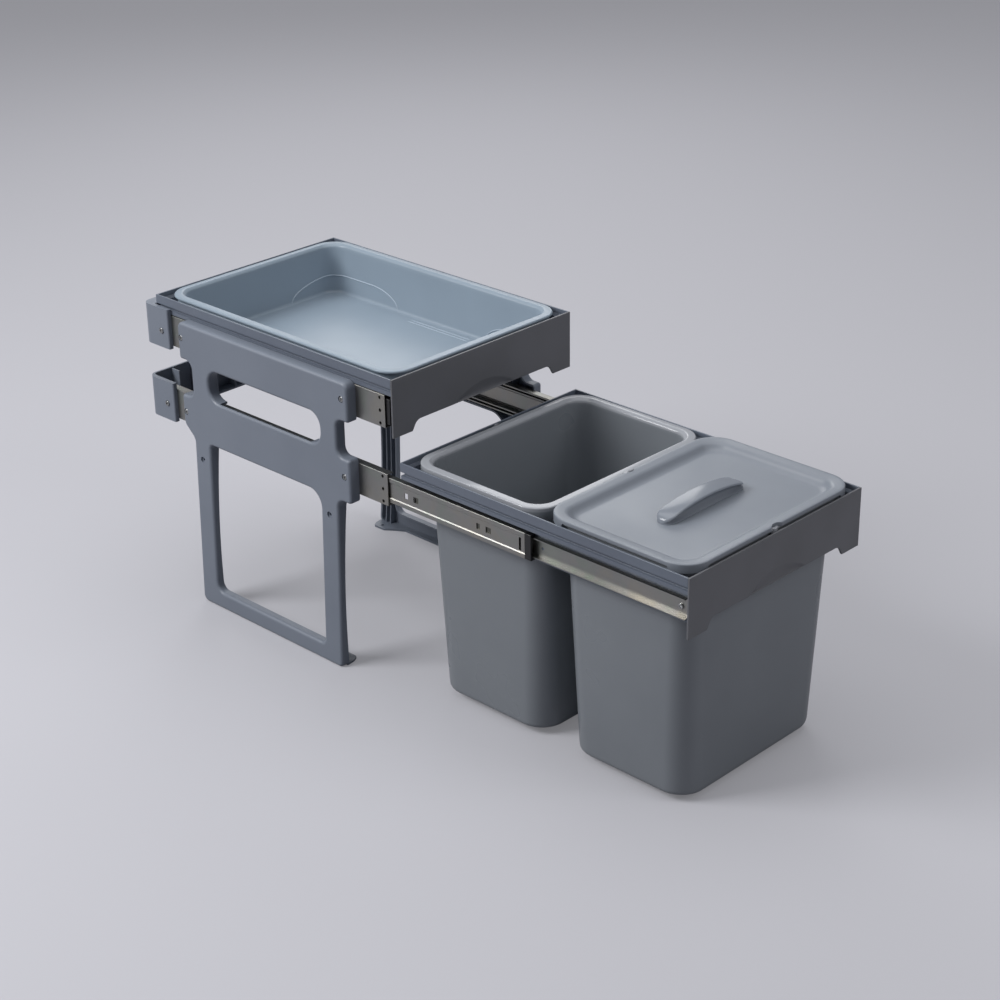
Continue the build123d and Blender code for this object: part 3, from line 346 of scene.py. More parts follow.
def rounded_ring(half_x: np.ndarray, half_y: np.ndarray, radius: np.ndarray,
                 across: np.ndarray = EVEN_SHARES, along: np.ndarray = EVEN_SHARES,
                 steps: int = 14) -> np.ndarray:
    """Points round rounded rectangles.

    Four quarter circles about centres a radius inside the corners, joined by straight runs:
    point = centre + radius * (cos a, sin a).

    Args:
        half_x: half of each rectangle's width.
        half_y: half of each rectangle's length.
        radius: each rectangle's corner radius.
        across: where the runs along X are divided.
        along: where the runs along Y are divided.
        steps: parts of each quarter circle.

    Returns:
        X and Y of every point: rectangles by points by two.
    """
    half_x, half_y, radius = (
        np.atleast_1d(np.asarray(size, float))[:, None] for size in (half_x, half_y, radius))
    turns = np.linspace(0, QUARTER, steps + 1)
    parts = []
    for quarter, (sx, sy) in enumerate([(1, 1), (-1, 1), (-1, -1), (1, -1)]):
        angle = turns + quarter * QUARTER
        x = sx * (half_x - radius) + radius * np.cos(angle)
        y = sy * (half_y - radius) + radius * np.sin(angle)
        parts.append(np.stack([x, y], axis=-1))
    joined = []
    for quarter, part in enumerate(parts):
        end, start = part[:, -1:], parts[(quarter + 1) % 4][:, :1]
        share = (along if quarter % 2 else across)[None, :, None]
        joined += [part, end + (start - end) * share]
    return np.concatenate(joined, axis=1)


def rounded_profile(corners: list[Place], steps: int = 6) -> np.ndarray:
    """Profile through corners that are rounded with quadratic curves.

    Each corner with a radius is replaced by a curve from one radius before it to one radius after
    it: (1-t)^2 before + 2t(1-t) corner + t^2 after.

    Args:
        corners: inward distance, height and rounding of each corner.
        steps: parts of each rounded corner.

    Returns:
        Inward distance and height of every profile point.
    """
    points = [np.array(corner[:2]) for corner in corners]
    share = np.linspace(0, 1, steps + 1)[:, None]
    profile = [points[0][None]]
    for before, here, after, corner in zip(points, points[1:], points[2:], corners[1:]):
        radius = corner[2]
        if not radius:
            profile.append(here[None])
            continue
        start = here + (before - here) * min(0.5, radius / np.linalg.norm(before - here))
        end = here + (after - here) * min(0.5, radius / np.linalg.norm(after - here))
        profile.append((1 - share) ** 2 * start + 2 * share * (1 - share) * here + share ** 2 * end)
    profile.append(points[-1][None])
    return np.concatenate(profile)


def raise_rings(rings: np.ndarray, heights: np.ndarray, centre: Pair) -> np.ndarray:
    """Give plan rings their heights and move them to a centre.

    Args:
        rings: X and Y about the centre, rings by points by two.
        heights: height of each ring, or of each point of each ring.
        centre: where the rings' middle goes.

    Returns:
        Rings by points by three coordinates.
    """
    heights = heights if heights.ndim == 2 else heights[:, None]
    heights = np.broadcast_to(heights, rings.shape[:2])
    return np.dstack([rings[..., 0] + centre[0], rings[..., 1] + centre[1], heights])


def soft_box(low: Place, high: Place, radius: float, steps: int = 4) -> np.ndarray:
    """Box whose edges and corners are all rounded.

    A quarter circle gives each ring's inset and height: inset = radius * (1 - sin a),
    height = end + radius * (1 - cos a), and the first and last rings close on the middle.

    Args:
        low: the box's lowest corner.
        high: its highest corner.
        radius: the rounding.
        steps: parts of each quarter circle.

    Returns:
        Rings by points by three coordinates.
    """
    half = (np.asarray(high) - np.asarray(low)) / 2
    middle = (np.asarray(high) + np.asarray(low)) / 2
    angle = np.linspace(0, QUARTER, steps + 1)
    inset = np.r_[min(half[:2]), radius * (1 - np.sin(angle))]
    drop = np.r_[0, radius * (1 - np.cos(angle))]
    inset, drop = np.r_[inset, inset[::-1]], np.r_[drop, 2 * half[2] - drop[::-1]]
    corner = np.clip(radius - inset, 0, None) + WELD
    corner = np.minimum(corner, np.maximum(min(half[:2]) - inset, 0))
    rings = rounded_ring(half[0] - inset, half[1] - inset, corner, steps=steps)
    return raise_rings(rings, low[2] + drop, (middle[0], middle[1]))


def bead_along(path: np.ndarray, normals: np.ndarray, radius: float, sides: int = 8) -> np.ndarray:
    """Thin round bead along a path on a surface.

    Point = place + radius * (cos a * normal + sin a * beside), thinned towards the bead's ends.

    Args:
        path: the points that the bead follows.
        normals: the surface's normal at each point.
        radius: the bead's radius.
        sides: points round the bead.

    Returns:
        Rings by points by three coordinates.
    """
    beside = np.cross(np.gradient(path, axis=0), normals)
    beside /= np.linalg.norm(beside, axis=1, keepdims=True)
    share = np.linspace(0, 1, len(path))
    thin = np.clip(np.minimum(share, 1 - share) / BEAD_END, BEAD_TIP, 1)
    thick = radius * np.sqrt(thin)[:, None, None]
    angle = np.linspace(0, 2 * math.pi, sides, endpoint=False)[None, :, None]
    ring = np.cos(angle) * normals[:, None] + np.sin(angle) * beside[:, None]
    return path[:, None] + thick * ring


@dataclass
class Container:
    """A bin or the tray: drafted walls, a rounded floor and a turned down rim.

    Its surface is a profile carried round a rounded rectangle: the profile starts under the floor,
    climbs the outer wall, turns over the rim and comes down the inner wall to the floor's middle.
    """

    node: str
    finish: str
    wall: float = 2.2 * MM
    ledge: float = 11.5 * MM
    floor_round: float = 9.0 * MM
    floor_radius: float = 34.0 * MM
    rim_radius: float = 34.0 * MM
    mouth_radius: float = 26.0 * MM
    draft: float = 12.5 * MM
    skirt: float = 20.7 * MM
    # How far the skirt is drawn in below the bead, which shades it, and the slope's height there
    # as a share of that.
    undercut: float = 0.0
    undercut_slope: float = 0.4
    # Depths of the bead's foot and shoulder and of the crown's edge, and how far the crown starts
    # from the bead's face and ends before the ledge.
    bead_height: float = 4.0 * MM
    bead_shoulder: float = 1.9 * MM
    crown_drop: float = 0.8 * MM
    crown_start: float = 1.0 * MM
    crown_end: float = 1.5 * MM
    # Depths at which the mouth's inner face turns and the straight inner wall starts.
    mouth_drop: float = 3.4 * MM
    straight_from: float = 8.0 * MM
    # In walls: how much thicker the rim is, how far its underside and the outer wall's root lie
    # below the top, and how far that root and the mouth's turn lie past the ledge.
    swell: float = 0.3
    roof: float = 1.6
    root: float = 2.2
    root_inset: float = 0.2
    mouth_inset: float = 0.9
    lug_reach: float = 2.4 * MM
    lug_radius: float = 6.0 * MM
    lug_height: float = 9.0 * MM
    lug_edge: float = 1.4 * MM
    # How deep a lug's back is sunk in the rim, in walls.
    lug_root: float = 0.7
    half_x: float = field(init=False)
    half_y: float = field(init=False)
    centre_y: float = field(init=False)
    top: float = field(init=False)
    foot: float = field(init=False)

    def __post_init__(self) -> None:
        """Read the container's place and size from its CAD node."""
        low, high = (np.array(corner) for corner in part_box(self.node))
        reach = self.lug_reach if self.has_lugs() else 0.0
        self.half_x = (high[0] - low[0]) / 2
        self.half_y = (high[1] - low[1]) / 2 - reach
        self.centre_y = (low[1] + high[1]) / 2
        self.top, self.foot = high[2], low[2]

    def has_lugs(self) -> bool:
        """Whether lugs stand out of the rim: the bins have them and the tray doesn't."""
        return self.node != "tray"

    def rim_corners(self) -> list[Place]:
        """Corners of the profile over the rim, from the skirt's inner face to the inner wall.

        Returns:
            Inward distance, height and rounding of each corner.
        """
        wall, ledge, top, under = self.wall, self.ledge, self.top, self.undercut
        bead_foot = top - self.bead_height
        return [
            (under + wall * (1 + self.swell), top - wall * self.roof, 1.5 * MM),
            (under + wall, top - self.skirt, 0.6 * MM),
            (under, top - self.skirt, 0.6 * MM),
            (under, bead_foot - under * self.undercut_slope - LEAST, 0.8 * MM),
            (0, bead_foot, 0.7 * MM),
            (0, top - self.bead_shoulder, 0.8 * MM),
            (self.crown_start, top - self.crown_drop, 0.9 * MM),
            (ledge - self.crown_end, top, 1.5 * MM),
            (ledge + wall * self.mouth_inset, top - self.mouth_drop, 1.5 * MM),
            (ledge + wall * (1 + self.swell), top - self.straight_from, 2.5 * MM),
        ]

    def shell(self) -> np.ndarray:
        """Work out the container's whole surface.

        Returns:
            Rings by points by three coordinates.
        """
        wall, ledge, top, foot, half_x = self.wall, self.ledge, self.top, self.foot, self.half_x
        corners = [
            (half_x, foot, 0),
            (ledge + self.draft, foot, self.floor_round),
            (ledge + wall * self.root_inset, top - wall * self.root, 2 * MM),
            *self.rim_corners(),
            (ledge + self.draft + wall, foot + wall, self.floor_round - wall / 2),
            (half_x, foot + wall, 0),
        ]
        profile = rounded_profile(corners)
        inward, height = profile[:, 0], profile[:, 1]
        # The walls lean in twice as much across as along, so the length gets half the draft.
        past = np.clip(inward - ledge - wall, 0, self.draft)
        inward_y = np.where(inward < half_x, inward - past / 2, self.half_y)
        drop = np.clip((top - height) / (top - foot), 0, 1)
        corner = np.interp(inward, [0, ledge, half_x],
                           [self.rim_radius, self.mouth_radius, self.mouth_radius])
        corner += np.where(inward > ledge, (self.floor_radius - self.mouth_radius) * drop, 0)
        across, along = np.maximum(half_x - inward, 0), np.maximum(self.half_y - inward_y, 0)
        rings = rounded_ring(across, along, np.minimum(corner, np.minimum(across, along)))
        return raise_rings(rings, height, (0.0, self.centre_y))

    def lugs(self) -> list[np.ndarray]:
        """Work out the round lugs at the middle of the front and rear rims.

        Each is an upright post with rounded ends: inset = edge * (1 - sin a) and
        height = edge * (1 - cos a) from either end.

        Returns:
            For each lug its rings by points by three coordinates.
        """
        angle = np.linspace(0, 2 * math.pi, 32, endpoint=False)[None]
        turn = np.linspace(0, QUARTER, 5)
        draw, climb = self.lug_edge * (1 - np.sin(turn)), self.lug_edge * (1 - np.cos(turn))
        inset = np.r_[self.lug_radius, draw, draw[::-1], self.lug_radius][:, None]
        height = np.r_[0, climb, self.lug_height - climb[::-1], self.lug_height][:, None]
        lugs = []
        for side in (-1, 1):
            outward = (self.half_y - self.lug_radius + self.lug_reach
                       + (self.lug_radius - inset) * np.cos(angle))
            outward = np.maximum(outward, self.half_y - self.wall * self.lug_root)
            x = (self.lug_radius - inset) * np.sin(angle)
            z = np.broadcast_to(self.top - self.lug_height + height, x.shape)
            lugs.append(np.dstack([x, self.centre_y + side * outward, z]))
        return lugs

    def build(self, palette: Palette) -> bpy.types.Object:
        """Build the container over its CAD node.

        Args:
            palette: the finishes.

        Returns:
            The finished piece.
        """
        grids = [self.shell()] + (self.lugs() if self.has_lugs() else [])
        piece = ring_piece(f"{self.node}_shell", grids, palette.get(self.finish), self.node)
        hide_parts(self.node)
        return piece

    def inner_wall(self, run: np.ndarray, height: np.ndarray) -> tuple[np.ndarray, np.ndarray]:
        """Places and normals on the inner wall.

        The run starts at the middle of the rear wall, goes right to the corner, round it, and then
        forward along the right wall. At each height the wall is a rounded rectangle.

        Args:
            run: distance along the wall.
            height: height of each place.

        Returns:
            The places and the normals that point into the container.
        """
        top, foot, wall, ledge = self.top, self.foot, self.wall, self.ledge
        straight_top = top - self.straight_from
        rise = (straight_top - height) / (straight_top - foot - wall)
        inward = ledge + wall * (1 + self.swell) + (self.draft - wall * self.swell) * rise
        past = np.clip(inward - ledge - wall, 0, self.draft)
        half_x, half_y = self.half_x - inward, self.half_y - inward + past / 2
        widening = self.floor_radius - self.mouth_radius
        radius = self.mouth_radius + widening * (top - height) / (top - foot)
        flat = half_x - radius
        angle = np.clip((run - flat) / radius, 0, QUARTER)
        forward = np.maximum(run - flat - radius * QUARTER, 0)
        x = np.minimum(run, flat) + radius * np.sin(angle)
        y = half_y - radius + radius * np.cos(angle) - forward
        places = np.stack([x, y + self.centre_y, height], axis=-1)
        normals = np.stack([-np.sin(angle), -np.cos(angle), np.zeros_like(angle)], axis=-1)
        return places, normals


@dataclass
class TrayRelief:
    """Thin raised lines inside the tray: arches round its corners and pairs on its floor."""

    tray: Container
    bead: float = 0.95 * MM
    floor_bead: float = 0.65 * MM
    rise: float = 26.0 * MM
    # The arches' feet stand this far above the tray's floor.
    arch_lift: float = 0.5 * MM
    arch_steps: int = 24
    # Start, climb, level run and fall of a rear arch; climb and level run of a front one.
    rear_arch: tuple[float, float, float, float] = (56 * MM, 80 * MM, 74 * MM, 55 * MM)
    front_arch_run: Pair = (52 * MM, 44 * MM)
    front_shift: float = 20.0 * MM
    # Where the floor's lines lie across, and how far behind the panel they start and end.
    floor_lines: Pair = (122 * MM, 128.5 * MM)
    floor_reach: Pair = (154 * MM, 273 * MM)
    line_steps: int = 40

    def arch(self, start: float, climb: float, level: float, fall: float) -> np.ndarray:
        """Line that climbs a quarter ellipse, runs level and falls another quarter ellipse.

        Points lie evenly by angle on both ellipses: run = length * (1 - cos a),
        height = rise * sin a.

        Args:
            start: run along the wall where it leaves the floor.
            climb: run of the first quarter ellipse.
            level: run of the level part.
            fall: run of the second quarter ellipse.

        Returns:
            The bead's rings.
        """
        turn = np.linspace(0, QUARTER, self.arch_steps)
        run = np.r_[climb * (1 - np.cos(turn)), climb + level * EVEN_SHARES,
                    climb + level + fall * np.sin(turn)]
        up = np.r_[np.sin(turn), np.ones(len(EVEN_SHARES)), np.cos(turn)]
        floor = self.tray.foot + self.tray.wall + self.arch_lift
        places, normals = self.tray.inner_wall(start + run, floor + self.rise * up)
        return bead_along(places, normals, self.bead)

    def build(self, palette: Palette) -> bpy.types.Object:
        """Build every line as one piece on the tray.

        Args:
            palette: the finishes.

        Returns:
            The finished piece.
        """
        rear = self.arch(*self.rear_arch)
        climb, level = self.front_arch_run
        # The front arches are the same kind of line, turned end for end about the tray's middle.
        shift = self.front_shift
        front = self.arch(self.rear_arch[0] + shift, climb, level + shift, climb)
        front = front * (1, -1, 1) + (0, 2 * self.tray.centre_y, 0)
        grids = [rear, front]
        floor = self.tray.foot + self.tray.wall
        near, far = (y - FEET_MIDDLE for y in self.floor_reach)
        run = near + (far - near) * np.linspace(0, 1, self.line_steps)
        upwards = np.tile((0.0, 0.0, 1.0), (self.line_steps, 1))
        for x in self.floor_lines:
            path = np.stack([np.full_like(run, x), run, np.full_like(run, floor)], axis=-1)
            grids.append(bead_along(path, upwards, self.floor_bead))
        grids += [grid * (-1, 1, 1) for grid in grids]
        # The lines' colour is paler than the tray's, a painted highlight.
        piece = ring_piece("tray_relief_lines", grids, palette.get("relief_plastic"), "tray")
        return piece


@dataclass
class Lid:
    """Lid of the front bin: a rolled border, a sunk middle and a bridge handle moulded on."""

    node: str = "lid"
    wall: float = 2.2 * MM
    radius: float = 36.5 * MM
    floor_radius: float = 18.0 * MM
    border: float = 23.0 * MM
    recess: float = 10.0 * MM
    # The border: its edge's drop, where its crown lies, and where its slope ends and how low.
    edge_drop: float = 0.3 * MM
    crown: float = 3.2 * MM
    slope_end: float = 15.2 * MM
    slope_drop: float = 1.5 * MM
    # The same turns on the underside.
    under_crown: float = 4.5 * MM
    under_slope_end: float = 15.6 * MM
    under_floor: float = 0.8 * MM
    skirt: float = 12.0 * MM
    skirt_short: float = 5.5 * MM
    corner_run: float = 34.0 * MM
    skirt_step: float = 1.5 * MM
    # How far in the skirt's points lie at most, in walls.
    skirt_band: float = 1.01
    notch_radius: float = 12.0 * MM
    notch_depth: float = 5.0 * MM
    # Between these shares of the front run points stand closer, for the notch, and the outer face
    # reaches this far in.
    notch_shares: Pair = (0.44, 0.56)
    outer_band: float = 0.6 * MM
    handle_half: Pair = (75.0 * MM, 13.0 * MM)
    handle_rise: float = 8.9 * MM
    handle_nose: float = 6.5 * MM
    handle_nose_power: int = 10
    handle_crown: float = 0.5 * MM
    crown_fade: float = 4.0 * MM
    handle_sink: float = 0.6 * MM
    handle_edge: float = 2.4 * MM
    handle_lip: float = 1.3 * MM
    # Most that the edge and the lip take of the handle's height at its low ends.
    edge_share: float = 0.6
    lip_share: float = 0.4
    # The side hollows: their depth, the arc's height where they start and over which they deepen,
    # the power of their sine section and the most of the half width that they take.
    scoop: float = 6.0 * MM
    scoop_from: float = 2.0 * MM
    scoop_fade: float = 7.0 * MM
    scoop_power: float = 0.8
    scoop_most: float = 0.8
    half_x: float = field(init=False)
    half_y: float = field(init=False)
    centre_y: float = field(init=False)
    top: float = field(init=False)

    def __post_init__(self) -> None:
        """Read the lid's place and size from its CAD node."""
        low, high = (np.array(corner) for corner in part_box(self.node))
        self.half_x, self.half_y = (high[:2] - low[:2]) / 2
        self.centre_y = (low[1] + high[1]) / 2
        # The handle stands higher than the border, so the border's top is read from the skirt.
        self.top = low[2] + self.skirt

    def shell(self) -> np.ndarray:
        """Work out the lid's whole surface, with its skirt and finger notches.

        Returns:
            Rings by points by three coordinates.
        """
        wall, top, border = self.wall, self.top, self.border
        floor, half_x, half_y = top - self.recess, self.half_x, self.half_y
        corners = [
            (half_x, floor - wall, 0),
            (border + self.under_floor, floor - wall, 4 * MM),
            (self.under_slope_end, top - self.slope_drop - wall, 3 * MM),
            (self.under_crown, top - wall, 2.5 * MM),
            (wall, top - wall, 1.5 * MM),
            (wall, top - self.skirt, 0.5 * MM),
            (0, top - self.skirt, 0.5 * MM),
            (0, top - self.edge_drop, 1.8 * MM),
            (self.crown, top, 2.0 * MM),
            (self.slope_end, top - self.slope_drop, 3.5 * MM),
            (border, floor, 5.5 * MM),
            (half_x, floor, 0),
        ]
        profile = rounded_profile(corners, steps=8)
        inward, height = profile[:, 0], profile[:, 1]
        corner = np.interp(inward, [0, border], [self.radius, self.floor_radius])
        inward_y = np.where(inward < half_x, inward, half_y)
        across, along = np.maximum(half_x - inward, 0), np.maximum(half_y - inward_y, 0)
        shares = np.unique(np.r_[EVEN_SHARES, np.linspace(*self.notch_shares, 25)])
        rings = rounded_ring(across, along, np.minimum(corner, np.minimum(across, along)), shares,
                             steps=26)
        # The skirt reaches deep at the corners and half as far between them.
        x, y = rings[..., 0], rings[..., 1]
        beside = np.clip((np.abs(x) - half_x + self.corner_run) / self.skirt_step, 0, 1)
        behind = np.clip((np.abs(y) - half_y + self.corner_run) / self.skirt_step, 0, 1)
        skirt = self.skirt_short + (self.skirt - self.skirt_short) * beside * behind
        on_skirt = ((inward <= wall * self.skirt_band) & (height < top - wall))[:, None]
        share = (top - height)[:, None] / self.skirt
        heights = np.where(on_skirt, top - share * skirt, height[:, None])
        # A half moon is cut into the front and rear borders: no point of the outer face lies
        # further out than the circle, and none of the inner face within a wall of it.
        circle = np.sqrt(np.clip(self.notch_radius ** 2 - x ** 2, 0, None))
        cut = circle - self.notch_radius + self.notch_depth
        inner_side = np.arange(len(profile)) < np.argmax(inward <= self.outer_band)
        limit = half_y - np.clip(cut, 0, None) - np.where(inner_side, wall, 0)[:, None]
        notched = (cut > 0) & (inward < self.notch_depth + wall)[:, None]
        y = np.where(notched, np.clip(y, -limit, limit), y)
        return raise_rings(np.dstack([x, y]), heights, (0.0, self.centre_y))

    def handle(self) -> np.ndarray:
        """Work out the handle: a stadium in plan under an arc, hollowed at both sides.

        Each ring is the stadium drawn in by an inset. Its height is a share of the arc's height
        over the same X, and the side hollows draw in further by scoop * sin(share of the side's
        height). The arc goes through the handle's two ends, height = sqrt(R^2 - x^2) - (R - rise),
        and stands on a blunt nose: nose * sqrt(1 - (x / half length)^power).

        Returns:
            Rings by points by three coordinates.
        """
        half_x, half_y = self.handle_half
        floor = self.top - self.recess
        side = np.linspace(0, 1, 13)
        turn = np.linspace(0, QUARTER, 7)
        crown = np.linspace(0, 1, 7)[1:]
        over = np.zeros(len(turn) + len(crown))
        # Each ring's inset and its shares of the side's height, the hollow, the edge's rounding
        # and the crown. The first ring is the foot, sunk in the lid.
        inset = np.r_[0, 0 * side, self.handle_edge * (1 - np.cos(turn)),
                      self.handle_edge + (half_y - self.handle_edge) * crown]
        up = np.r_[0, side, 1 + over]
        hollow = np.r_[0, np.sin(math.pi * side) ** self.scoop_power, over]
        round_up = np.r_[0, 0 * side, np.sin(turn), np.ones(len(crown))]
        crowned = np.r_[np.zeros(1 + len(side) + len(turn)), crown]
        plan = rounded_ring(half_x - inset, half_y - inset, half_y - inset, FINE_SHARES,
                            np.array([0.5]))
        x, y = plan[..., 0], plan[..., 1]
        big = (half_x ** 2 + self.handle_rise ** 2) / (2 * self.handle_rise)
        bow = np.sqrt(big ** 2 - np.clip(np.abs(x), 0, half_x) ** 2) - (big - self.handle_rise)
        nose = np.sqrt(1 - np.clip(np.abs(x) / half_x, 0, 1) ** self.handle_nose_power)
        arc = bow + self.handle_nose * nose
        edge = np.minimum(self.handle_edge, self.edge_share * (arc + self.handle_edge))
        lip = np.minimum(self.handle_lip, self.lip_share * (arc + self.handle_edge))
        side_top = arc + self.handle_edge - edge
        height = lip + (side_top - lip) * up[:, None] + edge * round_up[:, None]
        height[0] = -self.handle_sink
        fade = np.clip(arc / self.crown_fade, 0, 1)
        height += self.handle_crown * np.sin(crowned * QUARTER)[:, None] * fade
        reach = np.clip((arc - self.scoop_from) / self.scoop_fade, 0, 1)
        depth = np.minimum(self.scoop * reach * hollow[:, None], np.abs(y) * self.scoop_most)
        y = y - np.sign(y) * depth
        return raise_rings(np.dstack([x, y]), floor + height, (0.0, self.centre_y))

    def build(self, palette: Palette) -> bpy.types.Object:
        """Build the lid and its handle over the CAD node.

        Args:
            palette: the finishes.

        Returns:
            The lid's own piece.
        """
        piece = ring_piece("lid_shell", [self.shell()], palette.get("lid_plastic"), "lid", 50.0)
        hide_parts(self.node)
        polished = palette.get("handle_plastic")
        handle = ring_piece("lid_handle", [self.handle()], polished, "lid", 50.0)
        return piece


@dataclass
class FrontPanel:
    """Front panel of a drawer: a plate with a tab at each end, a scooped grip and a ledge."""

    level: str
    wall: float = 3.0 * MM
    middle_height: float = 66.0 * MM
    tab_width: float = 38.0 * MM
    arch_radius: float = 13.0 * MM
    arch_lean: float = 4.0 * MM
    edge: float = 0.8 * MM
    grip_half: float = 54.0 * MM
    grip_height: float = 18.0 * MM
    grip_depth: float = 2.1 * MM
    grip_power: float = 0.55
    grip_fade: float = 5.0 * MM
    ledge_drop: float = 17.7 * MM
    ledge_thickness: float = 5.0 * MM
    ledge_inset: float = 18.1 * MM
    ledge_overlap: float = 2.5 * MM
    ledge_edge: float = 0.5 * MM
    side_gap: float = 0.4 * MM
    # Runs of sections, closest where the outline turns: distances from the panel's end, the tab's
    # inner end or the middle, and how many.
    end_sections: int = 4
    tab_run: Run = (2.0 * MM, 7.0 * MM, 5)
    arch_run: Run = (5.0 * MM, 16.0 * MM, 30)
    plain_run: Run = (20.0 * MM, 60.0 * MM, 5)
    grip_run: tuple[float, int] = (57.0 * MM, 30)
    # The face has this share of its height in fine rows, over the grip.
    fine_share: float = 0.34
    row_counts: tuple[int, int] = (22, 9)

    def foot_line(self, x: np.ndarray, half: float, drop_most: float) -> np.ndarray:
        """How far the bottom edge lies below the middle part's.

        It is a quarter arch, drop = radius - sqrt(radius^2 - aside^2), that ends in a steep
        straight run to the tab.

        Args:
            x: place across the panel.
            half: half of the panel's width.
            drop_most: how far the tab's foot lies below the middle part's.

        Returns:
            The drop at each place.
        """
        tab = half - self.tab_width
        slope = drop_most / (2 * self.arch_lean)
        turn = math.atan(slope)
        start = tab - self.arch_lean - self.arch_radius * math.tan(turn / 2)
        aside = np.clip(np.abs(x) - start, 0, self.arch_radius * math.sin(turn))
        arch = self.arch_radius - np.sqrt(self.arch_radius ** 2 - aside ** 2)
        steep = (np.abs(x) - tab + self.arch_lean) * slope
        past = np.abs(x) > start + self.arch_radius * math.sin(turn)
        return np.clip(np.where(past, steep, arch), 0, drop_most)

    def grip(self, x: np.ndarray, above: np.ndarray) -> np.ndarray:
        """Depth of the scooped grip under an arc over the bottom edge's middle.

        Between that edge and the arc it is grip_depth * sin(pi * t^power), deepest near the foot.

        Args:
            x: place across the panel.
            above: height above the bottom edge.

        Returns:
            How far the face is pushed in.
        """
        big = (self.grip_half ** 2 + self.grip_height ** 2) / (2 * self.grip_height)
        arc = np.sqrt(np.clip(big ** 2 - x ** 2, 0, None)) - (big - self.grip_height)
        share = np.clip(above / np.maximum(arc, LEAST), 0, 1)
        fade = np.clip(arc / self.grip_fade, 0, 1)
        return self.grip_depth * np.sin(math.pi * share ** self.grip_power) * fade

    def plate(self, low: np.ndarray, high: np.ndarray) -> np.ndarray:
        """Work out the plate as closed upright sections from end to end.

        Each section runs up the face, over the top, down the back and under the foot, with the
        four edges rounded: distance from the edge = radius * (1 - sin a) or radius * (1 - cos a).

        Args:
            low: the panel's lowest corner.
            high: its highest corner.

        Returns:
            Sections by points by three coordinates.
        """
        half, top, face = high[0], high[2], low[1]
        tab = half - self.tab_width
        drop_most = top - low[2] - self.middle_height
        left = np.r_[
            np.linspace(-half, -half + self.edge, self.end_sections),
            np.linspace(-half + self.tab_run[0], -tab - self.tab_run[1], self.tab_run[2]),
            np.linspace(-tab - self.arch_run[0], -tab + self.arch_run[1], self.arch_run[2]),
            np.linspace(-tab + self.plain_run[0], -self.plain_run[1], self.plain_run[2]),
            np.linspace(-self.grip_run[0], 0, self.grip_run[1])]
        x = np.r_[left, -left[-2::-1]][:, None]
        # Rounding of the two ends: the section shrinks by edge * (1 - sin a) towards them.
        near_end = np.clip((half - np.abs(x)) / self.edge, 0, 1)
        shrink = self.edge * (1 - np.sqrt(1 - (1 - near_end) ** 2))
        foot = top - self.middle_height - self.foot_line(x, half, drop_most)
        turn = np.linspace(0, QUARTER, 5)
        rise, run = self.edge * (1 - np.cos(turn)), self.edge * (1 - np.sin(turn))
        fine, coarse = self.row_counts
        rows = np.r_[np.linspace(0, self.fine_share, fine),
                     np.linspace(self.fine_share, 1, coarse)[1:]][1:-1]
        span = top - foot - 2 * self.edge
        height = np.concatenate([foot + rise, foot + self.edge + rows * span, top - run + 0 * foot,
                                 top - rise + 0 * foot, foot + run], axis=1)
        depth = np.tile(np.r_[run, 0 * rows, rise, self.wall - run, self.wall - rise], (len(x), 1))
        front = slice(0, len(turn) + len(rows))
        depth[:, front] += self.grip(x, height[:, front] - foot)
        height = np.clip(height, foot + shrink, top - shrink)
        depth = np.clip(depth, shrink, self.wall - shrink)
        return np.dstack([np.broadcast_to(x, height.shape), face + depth, height])

    def build(self, palette: Palette) -> bpy.types.Object:
        """Build the panel over its CAD node.

        Args:
            palette: the finishes.

        Returns:
            The finished piece.
        """
        node = f"{self.level}_front_panel"
        low, high = (np.array(corner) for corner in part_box(node))
        shelf_half = high[0] + self.side_gap - self.ledge_inset + self.ledge_overlap
        shelf_top = high[2] - self.ledge_drop
        shelf = soft_box((-shelf_half, low[1] + self.wall / 2, shelf_top - self.ledge_thickness),
                         (shelf_half, high[1], shelf_top), self.ledge_edge)
        piece = ring_piece(f"{node}_moulding", [self.plate(low, high), shelf],
                           palette.get("panel_plastic"), f"{self.level}_drawer", 30.0)
        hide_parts(node)
        return piece


@dataclass(frozen=True)
class Lamp:
    """A soft square lamp."""

    name: str
    place: Place
    size: float
    watts: float


